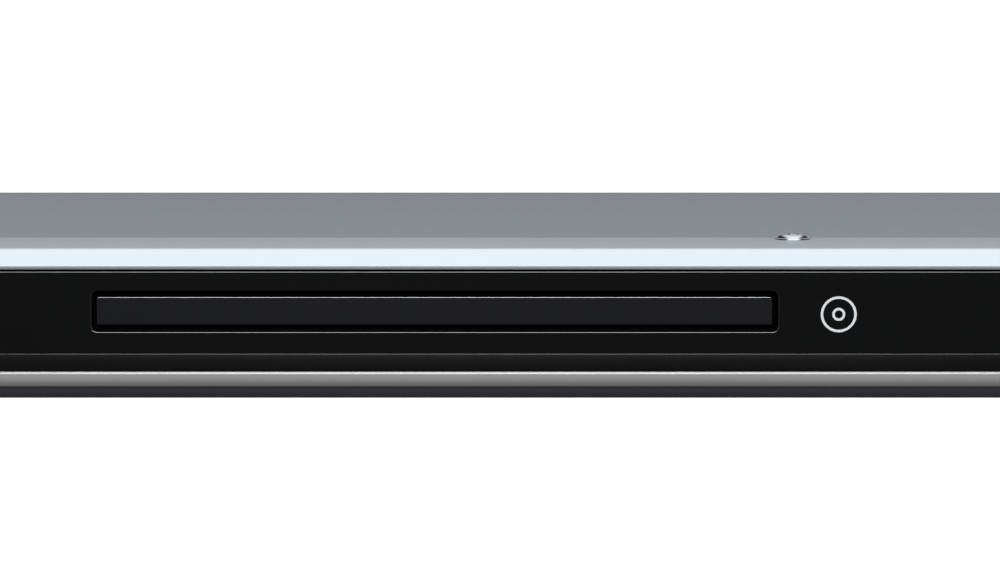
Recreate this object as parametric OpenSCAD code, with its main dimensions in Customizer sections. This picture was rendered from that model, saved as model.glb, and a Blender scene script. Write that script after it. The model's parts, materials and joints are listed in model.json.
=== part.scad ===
// Slim disc player with a motor-driven drawer tray.
// Origin: middle of the footprint, on the surface it stands on. +X is its right, -Y its front, +Z is up.
// Heights inside the modules are measured from the underside of the case and raised by the feet.

/* [Case] */
// Width of the cover and of the front
body_w = 430; // [426:1:440]
// Height from the underside of the case to the top of the cover
body_h = 34.8; // [34.8:0.1:37]
// Depth from the front panel's face to the rear panel's outer face
body_d = 220; // [218:1:222]
// Height of the feet
foot_h = 3; // [2:0.5:5]
// Radius of a foot
foot_r = 10; // [8:0.5:12]
// Thickness of the sheet steel
sheet_t = 1; // [0.8:0.1:1]

/* [Cover] */
// Depth of the sloped band at the front of the cover
slope_run = 12; // [10:0.5:14]
// Height that the sloped band falls
slope_drop = 1.8; // [1.5:0.1:2.2]
// Height of the gap between the cover's lip and the front panel
lip_gap = 0.2; // [0.2:0.1:0.6]
// Bend radius at the lip's upper edge
lip_top_r = 0.6; // [0.5:0.1:0.9]
// Height of the lip's lower edge, which is folded under
hem_h = 0.8; // [0.6:0.1:1]
// Radius of a cover screw's head
screw_head_r = 3.5; // [3:0.1:3.8]

/* [Front] */
// Height of the front panel's top edge
panel_top = 28.1; // [27.9:0.1:28.1]
// Thickness of the front panel
panel_t = 3; // [2.5:0.5:3]
// Depth of the panel's side returns
panel_return = 14; // [12:1:14]
// Height of the crease where the lower bevel starts
crease_z = 9.6; // [9:0.1:10]
// Distance that the lower bevel comes forward
bevel_out = 0.4; // [0.4:0.1:0.7]
// Depth of the small step along the crease
crease_step = 0.25; // [0.1:0.05:0.3]
// Height of the lower bezel's face
bezel_h = 2.2; // [1.8:0.1:2.4]
// Height of the trim strip
strip_h = 3.6; // [3:0.1:3.7]
// Distance that the trim strip's curved face stands out
strip_bulge = 0.8; // [0.5:0.1:1]
// Width of the display window
window_w = 78; // [70:1:80]
// Width of a function button
button_w = 12; // [10:0.5:12]
// Height of a function button
button_h = 5; // [4:0.5:6]
// Travel of a button
button_travel = 0.5; // [0.3:0.1:0.5]

/* [Tray] */
// Radius of the recess for a full-size disc
disc_recess_r = 60.6; // [60.4:0.1:61]
// Radius of the inner recess for a small disc
small_recess_r = 40.6; // [40.4:0.1:41]
// Length of the tray door
door_w = 150; // [149:0.5:150]
// Height of the tray door
door_h = 6.3; // [6:0.1:6.4]
// Distance that the tray slides out
tray_travel = 138; // [130:1:138]

/* [Hidden] */
$fn = 48;

eps = 0.01;
running = 0.05;
half_w = body_w / 2;
face_y = -(body_d + 8) / 2;
rear_y = face_y + body_d;
panel_back_y = face_y + panel_t;
case_front_y = face_y + panel_return + 0.2;
lip_bottom = panel_top + lip_gap;
crease_y = face_y + slope_run;
top_inner = body_h - sheet_t;
lip_return = 5;
hem_tilt = 65;
cover_bend_r = 2;
rear_flange_h = 7;
cover_bottom = 0.3;
base_inner_x = half_w - 2 * sheet_t - 0.2;
base_flange_h = 12;

// Screw sizes
shank_r = 1.25;
tight_hole_r = 1.3;
clear_hole_r = 1.7;
truss_h = 1.6;
seat_depth = 0.4;
seat_r = screw_head_r + 0.7;
small_head_r = 2.6;
side_screw_r = 3;
side_screw_ys = [-60, 60];
side_screw_z = 8;
rear_screw_xs = [-150, 0, 150];
rear_screw_z = 31;
screw_reach = 4;

// Feet
foot_inset_x = 40;
foot_inset_y = 42;
foot_xs = [-half_w + foot_inset_x, half_w - foot_inset_x];
foot_ys = [face_y + foot_inset_y, rear_y - foot_inset_y];

// Front panel layout
panel_mid_z = 18.8;
strip_z = bezel_h;
panel_bottom = strip_z + strip_h + 0.2;
tray_x = -80.4;
opening_w = 152.6;
opening_z = [14.5, 23.7];
opening_corner_r = 1.2;
window_x = 101;
window_h = 10.4;
button_z = 18;
button_xs = [152, 168, 184, 200];
button_face = 0.6;
button_gap = 0.3;
button_flange = 1;
button_corner_r = 1.2;
flange_y = panel_back_y + 0.4;
flange_t = 1;
power_x = -199;
power_r = 6;
lamp_x = -184;
lamp_r = 1.5;
board_t = 1.6;
control_y = face_y + 11;
control_x = [64, 208];
control_z = [8, 26];
switch_board_x = [-211, -180];
switch_board_z = [10, 26];
switch_body = 6;
switch_h = 3.5;
switch_stem_h = 0.4;
plunger_r = 1.5;
plunger_gap = 0.3;
front_boss_y = crease_y;

// Tray and loader layout
door_y = face_y + 0.3;
door_t = 4;
door_z = 16.1;
door_corner_r = 0.5;
tray_front = door_y + door_t;
tray_rear = 57;
tray_half = 72.9;
tray_z = [18, 21.8];
disc_y = -41;
disc_floor = 19.6;
small_floor = 19;
hub_hole_r = 19;
lens_slot_half = 17;
lens_slot_end = 64;
finger_r = 9;
finger_reach = 56;
front_wall = [151.4, 1.5];
front_wall_z = [14.8, 23.4];
guide_rib_x = [-14, -11];
rib_low = 16.4;
door_hook_gap = 0.1;
wall_gap = 0.4;
wall_t = 2.4;
wall_x = tray_half + wall_gap;
frame_y = [-107.8, 62];
frame_z = [2.4, 24.2];
deck_top = 4;
clamper_r = 12.8;
ledge_w = 3;
ledge_t = 2;
slide_gap = 0.1;
tab_gap = 0.3;
tab_t = 1.5;
tab_len = 14;
tab_ys = [-104, -60];
leg_xs = [-145, -14];
leg_ys = [-92, 55];

// Rack and gears of the tray drive
pressure_angle = 20;
addendum = 0.8;
dedendum = 1.15;
backlash = 0.2;
rack_m = 1;
rack_x = -144;
rack_back = 5;
rack_z = [15, 18];
drive_teeth = 18;
wheel_teeth = 40;
wheel_m = 0.8;
pulley_teeth = 12;
gear_y = -89;
rack_y = [gear_y - 9, gear_y + tray_travel + 7];
drive_x = rack_x + drive_teeth * rack_m / 2;
pulley_x = drive_x + (wheel_teeth + pulley_teeth) * wheel_m / 2;
wheel_z = [11.6, 14.2];
pinion_z = [15.2, 17.6];
post_r = 2;
hub_r = 3.6;
hub_z = 4.4;
motor_x = -90;
motor_y = -94;
motor_r = 10;
motor_z = [2.6, 14];
pulley_z = [14.9, 17.5];
pulley_r = 10;
motor_pulley_r = 4;
groove = 1.4;
belt_w = 1.2;
belt_gap = 0.15;

// Lifting traverse, laid out in its raised position and turned down about its rear pivot
lower_angle = 3.5;
pivot_y = 42;
pivot_z = 11;
pivot_pin_r = 2;
trav_x = [-118, -26];
trav_y = [-68, 46];
trav_z = [9.5, 11.3];
well_x = [-111.5, -47.5];
well_y = [-27, 38.5];
rod_xs = [-106, -54];
rod_r = 1.5;
rod_z = 12.8;
rod_y = [-33, 43];
rod_post = 3.8;
cam_pin_r = 1.5;
cam_pin_z = 14.6;
cam_y = [-76, -73];
cam_travel = 12;
cam_z = [4.3, 17.6];
cam_half = 32;
cam_clear = 0.4;
spindle_r = 12;
spindle_z = [11.3, 17.3];
turntable_r = 15;
disc_seat_z = 20.3;
hub_top_z = 22;
centring_r = 7.4;
sled_x = [-98, -62];
sled_y = [-26, 3];
sled_z = [8.5, 16.4];
bearing_z = [10.4, 14.8];
lens_y = -16;
lens_r = 3.2;
lens_top = 18.8;
sled_rack_m = 0.8;
sled_rack_x = -48;
sled_rack_z = [11.7, 13.6];
sled_pinion_teeth = 14;
sled_wheel_teeth = 36;
sled_wheel_m = 0.5;
sled_motor_teeth = 12;
sled_gear_y = 9;
sled_gear_x = sled_rack_x + sled_pinion_teeth * sled_rack_m / 2;
sled_gear_reach = (sled_wheel_teeth + sled_motor_teeth) * sled_wheel_m / 2;
sled_motor_x = sled_gear_x + sled_gear_reach * cos(45);
sled_motor_y = sled_gear_y - sled_gear_reach * sin(45);
sled_motor_r = 5.2;
sled_motor_z = [5, 14.6];
sled_wheel_z = [15.2, 16.8];
sled_pinion_z = [11.7, 14];

// Electronics
board_z = 6;
board_top = board_z + board_t;
main_x = [6, 126];
main_y = [-2, 98];
power_brd_x = [134, 207];
power_brd_y = [-30, 90];
standoff_r = 3;
board_hole_r = 1.6;
main_hole_xs = [12, 120];
power_hole_xs = [140, 201];
main_hole_ys = [4, 80];
power_hole_ys = [-24, 80];
jack_z = 14.5;
jack_block_half = 6.8;
jack_r = 4.15;
jack_bore_r = 1.6;
jack_len = 9;
jack_hole_r = 4.6;
jack_block_y = [rear_y - 15, rear_y - sheet_t - 0.2];
jack_block_z = [board_top, 21.5];
av_xs = [14, 28, 42];
digital_x = 58;
video_xs = [74, 88, 102];
s_video_x = 118;
s_video_r = 6;
inlet_x = 180;
inlet_z = 15;
inlet_body = [21, 12];
inlet_flange = [27, 17];
inlet_flange_t = 2;
inlet_depth = 14;
inlet_pin_pitch = 8.6;
inlet_pin_r = 1.2;
inlet_cell_r = 4.4;
plug_x = [68, 88];
plug_depth = 6;

// ---- Helpers ----

// Lifts a sub-part from case heights to the standing height
module raised() {
    translate([0, 0, foot_h]) children();
}

// Rectangular block between two corners given as ranges
module block(x, y, z) {
    translate([x[0], y[0], z[0]]) cube([x[1] - x[0], y[1] - y[0], z[1] - z[0]]);
}

// Round bars along each axis
module bar_x(x, y, z, r) {
    translate([x[0], y, z]) rotate([0, 90, 0]) cylinder(h = x[1] - x[0], r = r);
}

module bar_y(x, y, z, r) {
    translate([x, y[0], z]) rotate([-90, 0, 0]) cylinder(h = y[1] - y[0], r = r);
}

module bar_z(x, y, z, r) {
    translate([x, y, z[0]]) cylinder(h = z[1] - z[0], r = r);
}

// Extrudes an outline drawn in depth and height along the width
module along_x(x) {
    translate([x[0], 0, 0]) rotate([90, 0, 90]) linear_extrude(x[1] - x[0]) children();
}

// Extrudes an outline drawn in width and height along the depth
module along_y(y) {
    translate([0, y[1], 0]) rotate([90, 0, 0]) linear_extrude(y[1] - y[0]) children();
}

// Rectangle with round corners, about its own middle
module round_rect(w, h, r) {
    square([w - 2 * r, h], center = true);
    square([w, h - 2 * r], center = true);
    for (x = [-1, 1], y = [-1, 1]) {
        translate([x * (w / 2 - r), y * (h / 2 - r)]) circle(r);
    }
}

// A range of one length about a middle
function around(middle, length) = [middle - length / 2, middle + length / 2];

// Points on an arc about a middle, from one angle to another
function arc(middle, r, from, to, steps) = [
    for (i = [0 : steps])
        let (angle = from + (to - from) * i / steps)
        middle + r * [cos(angle), sin(angle)]
];

// ---- Fasteners ----

// Screw with a domed head and a cross recess, standing on z = 0 with its shank downwards
module cross_screw(head_r, head_h, reach) {
    dome_r = head_r * 1.7;
    recess = head_r * 0.62;
    recess_w = head_r * 0.2;
    difference() {
        intersection() {
            cylinder(h = head_h, r = head_r);
            translate([0, 0, head_h - dome_r]) sphere(dome_r);
        }
        for (turn = [0, 90]) {
            rotate([0, 0, turn]) translate([-recess, -recess_w / 2, head_h / 2])
                cube([2 * recess, recess_w, head_h]);
        }
    }
    translate([0, 0, -reach]) cylinder(h = reach + eps, r = shank_r);
}

// ---- Case ----

// Side outline of the cover: the top, the sloped band, a tight bend and the lip with its hem
module cover_outside(low, back) {
    slope = atan(slope_drop / slope_run);
    bend = [face_y + lip_top_r, body_h - slope_drop - lip_top_r * tan((90 - slope) / 2)];
    polygon([
        [back, body_h],
        [crease_y, body_h],
        bend + lip_top_r * [-sin(slope), cos(slope)],
        bend - [lip_top_r, 0],
        [face_y, lip_bottom + hem_h],
        [face_y + hem_h * tan(hem_tilt), lip_bottom],
        [case_front_y, lip_bottom],
        [case_front_y, low],
        [back, low]
    ]);
    translate(bend) circle(lip_top_r);
}

// The same outline on the inner side of the sheet, from corner to corner
module cover_inside(low, back) {
    slope = atan(slope_drop / slope_run);
    hem_d = hem_h * tan(hem_tilt);
    hem_l = norm([hem_h, hem_d]);
    polygon([
        [back, top_inner],
        [crease_y + sheet_t * tan(slope / 2), top_inner],
        [face_y + sheet_t, body_h - slope_drop + sheet_t * tan(slope) - sheet_t / cos(slope)],
        [face_y + sheet_t, lip_bottom + hem_h + sheet_t * (hem_l - hem_h) / hem_d],
        [face_y + (sheet_t * hem_l - hem_d * (sheet_t - hem_h)) / hem_h, lip_bottom + sheet_t],
        [face_y + lip_return, lip_bottom + sheet_t],
        [face_y + lip_return, low],
        [back, low]
    ]);
}

// Front outline of the cover: an upside-down trough with bent upper corners
module cover_front(w, top, low, bend) {
    translate([-w / 2, low]) square([w, top - low - bend]);
    translate([-w / 2 + bend, low]) square([w - 2 * bend, top - low]);
    for (side = [-1, 1]) {
        translate([side * (w / 2 - bend), top - bend]) circle(bend);
    }
}

module cover_body() {
    inner_w = body_w - 2 * sheet_t;
    cut_low = cover_bottom - 1;
    difference() {
        intersection() {
            along_x([-half_w, half_w]) cover_outside(cover_bottom, rear_y + sheet_t);
            along_y([face_y, rear_y + sheet_t]) cover_front(body_w, body_h, cover_bottom, cover_bend_r);
        }
        intersection() {
            along_x([-inner_w / 2, inner_w / 2]) cover_inside(cut_low, rear_y);
            along_y([face_y, rear_y]) cover_front(inner_w, top_inner, cut_low, cover_bend_r - sheet_t);
        }
        block([-half_w - 1, half_w + 1], [rear_y, rear_y + 2], [cut_low, body_h - rear_flange_h]);
    }
}

// Row of ventilation slots in both side walls
module side_vents() {
    slot_l = 3;
    slot_h = 12;
    slot_z = 20;
    pitch = 8;
    first_y = -30;
    last = 11;
    for (step = [0 : last]) {
        y = first_y + step * pitch;
        block([-half_w - 1, half_w + 1], [y, y + slot_l], around(slot_z, slot_h));
    }
}

module top_cover() {
    color("slategray") raised() difference() {
        cover_body();
        side_vents();
        bar_z(0, front_boss_y, [top_inner - 1, body_h + 1], clear_hole_r);
        bar_z(0, front_boss_y, [body_h - seat_depth, body_h + 1], seat_r);
        for (y = side_screw_ys) {
            bar_x([-half_w - 1, half_w + 1], y, side_screw_z, clear_hole_r);
        }
        for (x = rear_screw_xs) {
            bar_y(x, [rear_y - eps, rear_y + 2], rear_screw_z, clear_hole_r);
        }
    }
}

module cover_front_screw() {
    head_h = 1.3;
    reach = 6;
    color("silver") raised() translate([0, front_boss_y, body_h - seat_depth])
        cross_screw(screw_head_r, head_h, reach);
}

module cover_side_screws() {
    color("silver") raised() for (side = [-1, 1], y = side_screw_ys) {
        translate([side * half_w, y, side_screw_z]) rotate([0, side * 90, 0])
            cross_screw(side_screw_r, truss_h, screw_reach);
    }
}

module cover_rear_screws() {
    color("silver") raised() for (x = rear_screw_xs) {
        translate([x, rear_y + sheet_t, rear_screw_z]) rotate([-90, 0, 0])
            cross_screw(side_screw_r, truss_h, screw_reach);
    }
}

module chassis_base() {
    through = [-1, sheet_t + 1];
    slot_w = 4;
    slot_l = 30;
    power_vents = [150, 7, 0];
    board_vents = [30, 10, 20];
    last = 7;
    color("gainsboro") raised() difference() {
        union() {
            block([-base_inner_x, base_inner_x], [case_front_y, rear_y], [0, sheet_t]);
            for (side = [-1, 1]) {
                x = side * (base_inner_x + sheet_t / 2);
                block(around(x, sheet_t + 0.02), [case_front_y, rear_y - sheet_t], [0, base_flange_h]);
            }
        }
        for (step = [0 : last], vents = [power_vents, board_vents]) {
            block(around(vents[0] + step * vents[1], slot_w), [vents[2], vents[2] + slot_l], through);
        }
        for (x = foot_xs, y = foot_ys) bar_z(x, y, through, tight_hole_r);
        for (x = leg_xs, y = leg_ys) bar_z(x, y, through, tight_hole_r);
        for (y = side_screw_ys) bar_x([-half_w, half_w], y, side_screw_z, tight_hole_r);
    }
}

module foot_screws() {
    head_h = 1;
    reach = foot_h / 2 + sheet_t + 1;
    color("silver") raised() for (x = foot_xs, y = foot_ys) {
        translate([x, y, -foot_h / 2]) rotate([180, 0, 0]) cross_screw(small_head_r, head_h, reach);
    }
}

module feet() {
    recess_r = 4.5;
    color("dimgray") raised() for (x = foot_xs, y = foot_ys) {
        difference() {
            bar_z(x, y, [-foot_h, 0], foot_r);
            bar_z(x, y, [-foot_h - 1, -foot_h / 2], recess_r);
            bar_z(x, y, [-foot_h, 1], clear_hole_r);
        }
    }
}

module rear_panel() {
    slot_w = 3;
    slot_h = 12;
    slot_z = 18;
    pitch = 6;
    first_x = -60;
    last = 9;
    fit = 0.4;
    half = base_inner_x + sheet_t;
    through = [rear_y - sheet_t - 1, rear_y + 1];
    color("gainsboro") raised() difference() {
        block([-half, half], [rear_y - sheet_t, rear_y], [sheet_t, top_inner - 0.2]);
        for (x = concat(av_xs, [digital_x], video_xs)) bar_y(x, through, jack_z, jack_hole_r);
        bar_y(s_video_x, through, jack_z, s_video_r + fit / 2);
        block(around(inlet_x, inlet_body[0] + fit), through, around(inlet_z, inlet_body[1] + fit));
        for (x = rear_screw_xs) bar_y(x, through, rear_screw_z, tight_hole_r);
        for (step = [0 : last]) {
            block(around(first_x - step * pitch, slot_w), through, around(slot_z, slot_h));
        }
    }
}

// ---- Front ----

// Places children on a button's middle, drawn in width and height
module on_front(x) {
    translate([x, button_z]) children();
}

module front_panel() {
    chamfer = 0.4;
    shelf_t = 1.5;
    shelf_y = face_y + 10;
    side_t = 2.5;
    boss = [12, 6];
    hole_grow = 2 * button_gap;
    color([0.05, 0.05, 0.06]) raised() difference() {
        union() {
            along_x([-half_w, half_w]) polygon([
                [face_y, crease_z],
                [face_y - crease_step, crease_z - crease_step],
                [face_y - bevel_out, panel_bottom],
                [panel_back_y, panel_bottom],
                [panel_back_y, panel_top - shelf_t],
                [shelf_y, panel_top - shelf_t],
                [shelf_y, panel_top],
                [face_y + chamfer, panel_top],
                [face_y, panel_top - chamfer]
            ]);
            for (side = [-1, 1]) {
                block(around(side * (half_w - side_t / 2), side_t),
                    [panel_back_y - eps, face_y + panel_return], [panel_bottom, panel_top]);
            }
            block(around(0, boss[0]), [shelf_y - 1, front_boss_y + boss[1] / 2],
                [panel_top - shelf_t, top_inner - 0.9]);
        }
        along_y([face_y - 2, panel_back_y + 1]) {
            translate([tray_x, (opening_z[0] + opening_z[1]) / 2])
                round_rect(opening_w, opening_z[1] - opening_z[0], opening_corner_r);
            translate([window_x, panel_mid_z]) square([window_w, window_h], center = true);
            for (x = button_xs) {
                on_front(x)
                    round_rect(button_w + hole_grow, button_h + hole_grow, button_corner_r + button_gap);
            }
            on_front(power_x) circle(power_r + button_gap);
            on_front(lamp_x) circle(lamp_r + running);
        }
        bar_z(0, front_boss_y, [panel_top - 2, top_inner], tight_hole_r);
    }
}

module display_window() {
    sunk = 0.1;
    color([0.12, 0.02, 0.03]) raised() block(around(window_x, window_w), [face_y + sunk, face_y + 2],
        around(panel_mid_z, window_h));
}

module display_module() {
    middle = 96;
    body = [56, 7, 9.6];
    glass = [48, 0.6, 7];
    front = control_y - body[1];
    color("darkslategray") raised() {
        block(around(middle, body[0]), [front, control_y], around(panel_mid_z, body[2]));
        block(around(middle, glass[0]), [front - glass[1], front + eps], around(panel_mid_z, glass[2]));
    }
}

module infrared_receiver() {
    middle = 134;
    side = 7;
    depth = 5;
    dome_r = 2.4;
    color([0.1, 0.08, 0.1]) raised() {
        block(around(middle, side), [control_y - depth, control_y], around(18.5, side));
        translate([middle, control_y - depth, panel_mid_z]) sphere(dome_r);
    }
}

module standby_lamp() {
    color("firebrick") raised() {
        bar_y(lamp_x, [face_y + 1, control_y], button_z, lamp_r);
        translate([lamp_x, face_y + 1, button_z]) sphere(lamp_r);
    }
}

module lower_trim_strip() {
    radius = (pow(strip_h / 2, 2) + pow(strip_bulge, 2)) / (2 * strip_bulge);
    middle = strip_z + strip_h / 2;
    color("silver") raised() along_x([-half_w, half_w]) {
        translate([face_y - 0.2, strip_z]) square([2, strip_h]);
        intersection() {
            translate([face_y - 0.2 - strip_bulge + radius, middle]) circle(radius);
            translate([face_y - 2, strip_z]) square([1.8 + eps, strip_h]);
        }
    }
}

module lower_bezel() {
    wall_y = face_y + 1.8;
    low = -0.2;
    color("dimgray") raised() {
        along_x([-half_w, half_w]) polygon([
            [face_y - 0.2, low],
            [face_y - 0.2, bezel_h],
            [wall_y, bezel_h],
            [wall_y, panel_bottom],
            [wall_y + 2, panel_bottom],
            [wall_y + 2, bezel_h],
            [face_y + panel_return, bezel_h - 0.1],
            [face_y + panel_return, low]
        ]);
        for (side = [-1, 1]) {
            block(around(side * (half_w - 1), 2), [wall_y + 2 - eps, face_y + panel_return],
                [bezel_h - 0.2, panel_bottom]);
        }
    }
}

// Boards and switches behind the front

module control_board() {
    color("darkgreen") raised() {
        block(control_x, [control_y, control_y + board_t], control_z);
        block(plug_x, [control_y + board_t - eps, control_y + plug_depth], [11, 17]);
    }
}

module power_switch_board() {
    color("darkgreen") raised() block(switch_board_x, [control_y, control_y + board_t], switch_board_z);
}

module tact_switches() {
    stem_r = 1.6;
    color("silver") raised() for (x = concat(button_xs, [power_x])) {
        block(around(x, switch_body), [control_y - switch_h, control_y], around(button_z, switch_body));
        bar_y(x, [control_y - switch_h - switch_stem_h, control_y - switch_h + eps], button_z, stem_r);
    }
}

// Plunger that every button has behind its cap
module button_back(x) {
    tip_y = control_y - switch_h - switch_stem_h - plunger_gap - button_travel;
    bar_y(x, [flange_y, tip_y], button_z, plunger_r);
}

module bar_button(x) {
    grow = 2 * button_flange;
    color([0.08, 0.08, 0.09]) raised() {
        along_y([face_y - button_face, flange_y + eps])
            on_front(x) round_rect(button_w, button_h, button_corner_r);
        along_y([flange_y, flange_y + flange_t])
            on_front(x) round_rect(button_w + grow, button_h + grow, button_corner_r);
        button_back(x);
    }
}

module open_close_button() {
    bar_button(button_xs[0]);
}

module play_button() {
    bar_button(button_xs[1]);
}

module stop_button() {
    bar_button(button_xs[2]);
}

module skip_button() {
    bar_button(button_xs[3]);
}

module power_button() {
    color([0.08, 0.08, 0.09]) raised() {
        bar_y(power_x, [face_y - button_face, flange_y + eps], button_z, power_r);
        bar_y(power_x, [flange_y, flange_y + flange_t], button_z, power_r + button_flange);
        button_back(power_x);
    }
}

// ---- Electronics ----

module mains_inlet() {
    cell_x = inlet_pin_pitch / 2;
    front_y = rear_y + inlet_flange_t;
    back_y = front_y - inlet_depth;
    cavity_y = [back_y + 2, front_y + 1];
    color([0.08, 0.08, 0.08]) raised() difference() {
        union() {
            block(around(inlet_x, inlet_body[0]), [back_y, rear_y + eps], around(inlet_z, inlet_body[1]));
            block(around(inlet_x, inlet_flange[0]), [rear_y, front_y], around(inlet_z, inlet_flange[1]));
        }
        for (side = [-1, 1]) {
            bar_y(inlet_x + side * cell_x, cavity_y, inlet_z, inlet_cell_r);
        }
        block(around(inlet_x, inlet_pin_pitch), cavity_y, around(inlet_z, 2 * inlet_cell_r));
    }
    color("silver") raised() for (side = [-1, 1]) {
        bar_y(inlet_x + side * cell_x, [back_y + 1, front_y - 2], inlet_z, inlet_pin_r);
    }
}

// Circuit board with one hole for each standoff
module board(x, y, hole_xs, hole_ys) {
    difference() {
        block(x, y, [board_z, board_z + board_t]);
        for (hx = hole_xs, hy = hole_ys) bar_z(hx, hy, [board_z - 1, board_z + 3], board_hole_r);
    }
}

module power_board() {
    color("peru") raised() board(power_brd_x, power_brd_y, power_hole_xs, power_hole_ys);
}

module main_board() {
    color("darkgreen") raised() {
        board(main_x, main_y, main_hole_xs, main_hole_ys);
        block(plug_x, [main_y[0] + 2, main_y[0] + 2 + plug_depth], [board_top - eps, 12]);
    }
}

module decoder_chip() {
    processor = [24, 24, 2];
    memory = [12, 20, 1.2];
    color([0.1, 0.1, 0.11]) raised() {
        translate([50, 30, board_top]) cube(processor);
        translate([30, 36, board_top]) cube(memory);
    }
}

module transformer() {
    core = [26, 22, 15.4];
    winding = [18, 28, 18.4];
    middle = [171, 41];
    color("gold") raised() {
        for (part = [core, winding]) {
            block(around(middle[0], part[0]), around(middle[1], part[1]), [board_top, board_top + part[2]]);
        }
    }
}

module bulk_capacitor() {
    can_r = 9;
    can_x = 152;
    can_y = [-18, 14];
    color("navy") raised() bar_y(can_x, can_y, board_top + can_r, can_r);
}

module heatsink() {
    left = 172;
    length = 28;
    plate_y = [-16, -13];
    fin_reach = 9;
    fin_pitch = 4;
    fin_t = 1.6;
    last = 6;
    z = [board_top, 28];
    color("lightgray") raised() {
        block([left, left + length], plate_y, z);
        for (fin = [0 : last]) {
            x = left + fin * fin_pitch;
            block([x, x + fin_t], [plate_y[1] - eps, plate_y[1] + fin_reach], z);
        }
    }
}

// Socket with an outer sleeve for a push-on plug
module jack(x) {
    difference() {
        union() {
            block(around(x, 2 * jack_block_half), jack_block_y, jack_block_z);
            bar_y(x, [jack_block_y[1] - eps, rear_y], jack_z, jack_r + 0.2);
            bar_y(x, [rear_y - eps, rear_y + jack_len], jack_z, jack_r);
        }
        bar_y(x, [rear_y - 6, rear_y + jack_len + 1], jack_z, jack_bore_r);
    }
}

module video_jacks() {
    color("seagreen") raised() for (x = video_xs) jack(x);
}

module audio_jacks() {
    color("gold") raised() for (x = av_xs) jack(x);
}

module digital_jack() {
    color("darkorange") raised() jack(digital_x);
}

module s_video_socket() {
    shell_r = 4.8;
    face_depth = 1.5;
    front = rear_y + 1.5;
    color([0.1, 0.1, 0.1]) raised() difference() {
        union() {
            block(around(s_video_x, 2 * jack_block_half), jack_block_y, jack_block_z);
            bar_y(s_video_x, [jack_block_y[1] - eps, front], jack_z, s_video_r);
        }
        bar_y(s_video_x, [front - face_depth, front + 1], jack_z, shell_r);
        for (side = [-1, 1], row = [-1, 1]) {
            bar_y(s_video_x + side * (2.4 + row * 0.8), [front - 6, front], jack_z + row * 1.6, 0.6);
        }
    }
}

module board_standoffs() {
    color("gold") raised() {
        for (x = main_hole_xs, y = main_hole_ys) standoff(x, y);
        for (x = power_hole_xs, y = power_hole_ys) standoff(x, y);
    }
}

module standoff(x, y) {
    difference() {
        bar_z(x, y, [sheet_t, board_z], standoff_r);
        bar_z(x, y, [sheet_t + 0.5, board_z + 1], tight_hole_r);
    }
}

module board_screws() {
    color("silver") raised() {
        for (x = main_hole_xs, y = main_hole_ys) board_screw(x, y);
        for (x = power_hole_xs, y = power_hole_ys) board_screw(x, y);
    }
}

module board_screw(x, y) {
    translate([x, y, board_top]) cross_screw(small_head_r, 1.4, board_t + 4);
}

module ribbon_cable() {
    cable_t = 0.4;
    high = 14;
    low = 10;
    from_y = control_y + plug_depth;
    to_y = main_y[0] + 2;
    color("whitesmoke") raised() along_x([plug_x[0] + 1, plug_x[1] - 1]) polygon([
        [from_y, high],
        [from_y + 6, high],
        [from_y + 14, low],
        [to_y, low],
        [to_y, low - cable_t],
        [from_y + 14, low - cable_t],
        [from_y + 6, high - cable_t],
        [from_y, high - cable_t]
    ]);
}

// ---- Gears ----

function involute(angle) = tan(angle) * 180 / PI - angle;

// Half the angle of a tooth at radius rho
function tooth_half(teeth, m, rho) =
    let (pitch_r = teeth * m / 2, base_r = pitch_r * cos(pressure_angle))
    90 / teeth - backlash / (4 * pitch_r) * 180 / PI + involute(pressure_angle)
        - involute(acos(base_r / max(rho, base_r)));

// Outline of a spur gear with four points on each flank
module gear_outline(teeth, m, phase) {
    root_r = teeth * m / 2 - dedendum * m;
    step_r = (addendum + dedendum) * m / 3;
    polygon([
        for (i = [0 : teeth - 1], side = [-1, 1], k = [0 : 3])
            let (rho = root_r + step_r * (side < 0 ? k : 3 - k),
                angle = phase + i * 360 / teeth + side * tooth_half(teeth, m, rho))
            rho * [cos(angle), sin(angle)]
    ]);
}

module gear(teeth, m, phase, z) {
    translate([0, 0, z[0]]) linear_extrude(z[1] - z[0]) gear_outline(teeth, m, phase);
}

// Toothed bar along the depth with its teeth towards +X and one tooth at tooth_y
module rack(m, pitch_x, back_x, y, tooth_y, z) {
    pitch = PI * m;
    mid_half = pitch / 4 - backlash / 4;
    tip_half = mid_half - addendum * m * tan(pressure_angle);
    root_half = mid_half + dedendum * m * tan(pressure_angle);
    root_x = pitch_x - dedendum * m;
    tip_x = pitch_x + addendum * m;
    first = ceil((y[0] + root_half - tooth_y) / pitch);
    last = floor((y[1] - root_half - tooth_y) / pitch);
    translate([0, 0, z[0]]) linear_extrude(z[1] - z[0]) polygon(concat(
        [[back_x, y[0]], [root_x, y[0]]],
        [for (i = [first : last], corner = [[root_x, -root_half], [tip_x, -tip_half],
            [tip_x, tip_half], [root_x, root_half]])
            corner + [0, tooth_y + i * pitch]],
        [[root_x, y[1]], [back_x, y[1]]]
    ));
}

// ---- Loader ----

// Hooks that hold the door, widened by extra where they pass through the tray's front wall
module door_hooks(extra) {
    hook_x = 60;
    hook = [6, 4];
    for (side = [-1, 1]) {
        block(around(tray_x + side * hook_x, hook[0] + 2 * extra), [tray_front - eps, tray_front + hook[1]],
            [rib_low - extra, tray_z[0]]);
    }
}

// Upright wall at the tray's front, just inside the opening's outline
module tray_front_wall() {
    middle_z = (front_wall_z[0] + front_wall_z[1]) / 2;
    difference() {
        along_y([tray_front, tray_front + front_wall[1]]) translate([tray_x, middle_z])
            round_rect(front_wall[0], front_wall_z[1] - front_wall_z[0], opening_corner_r);
        translate([0, -1, 0]) door_hooks(door_hook_gap);
        door_hooks(door_hook_gap);
    }
}

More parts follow.
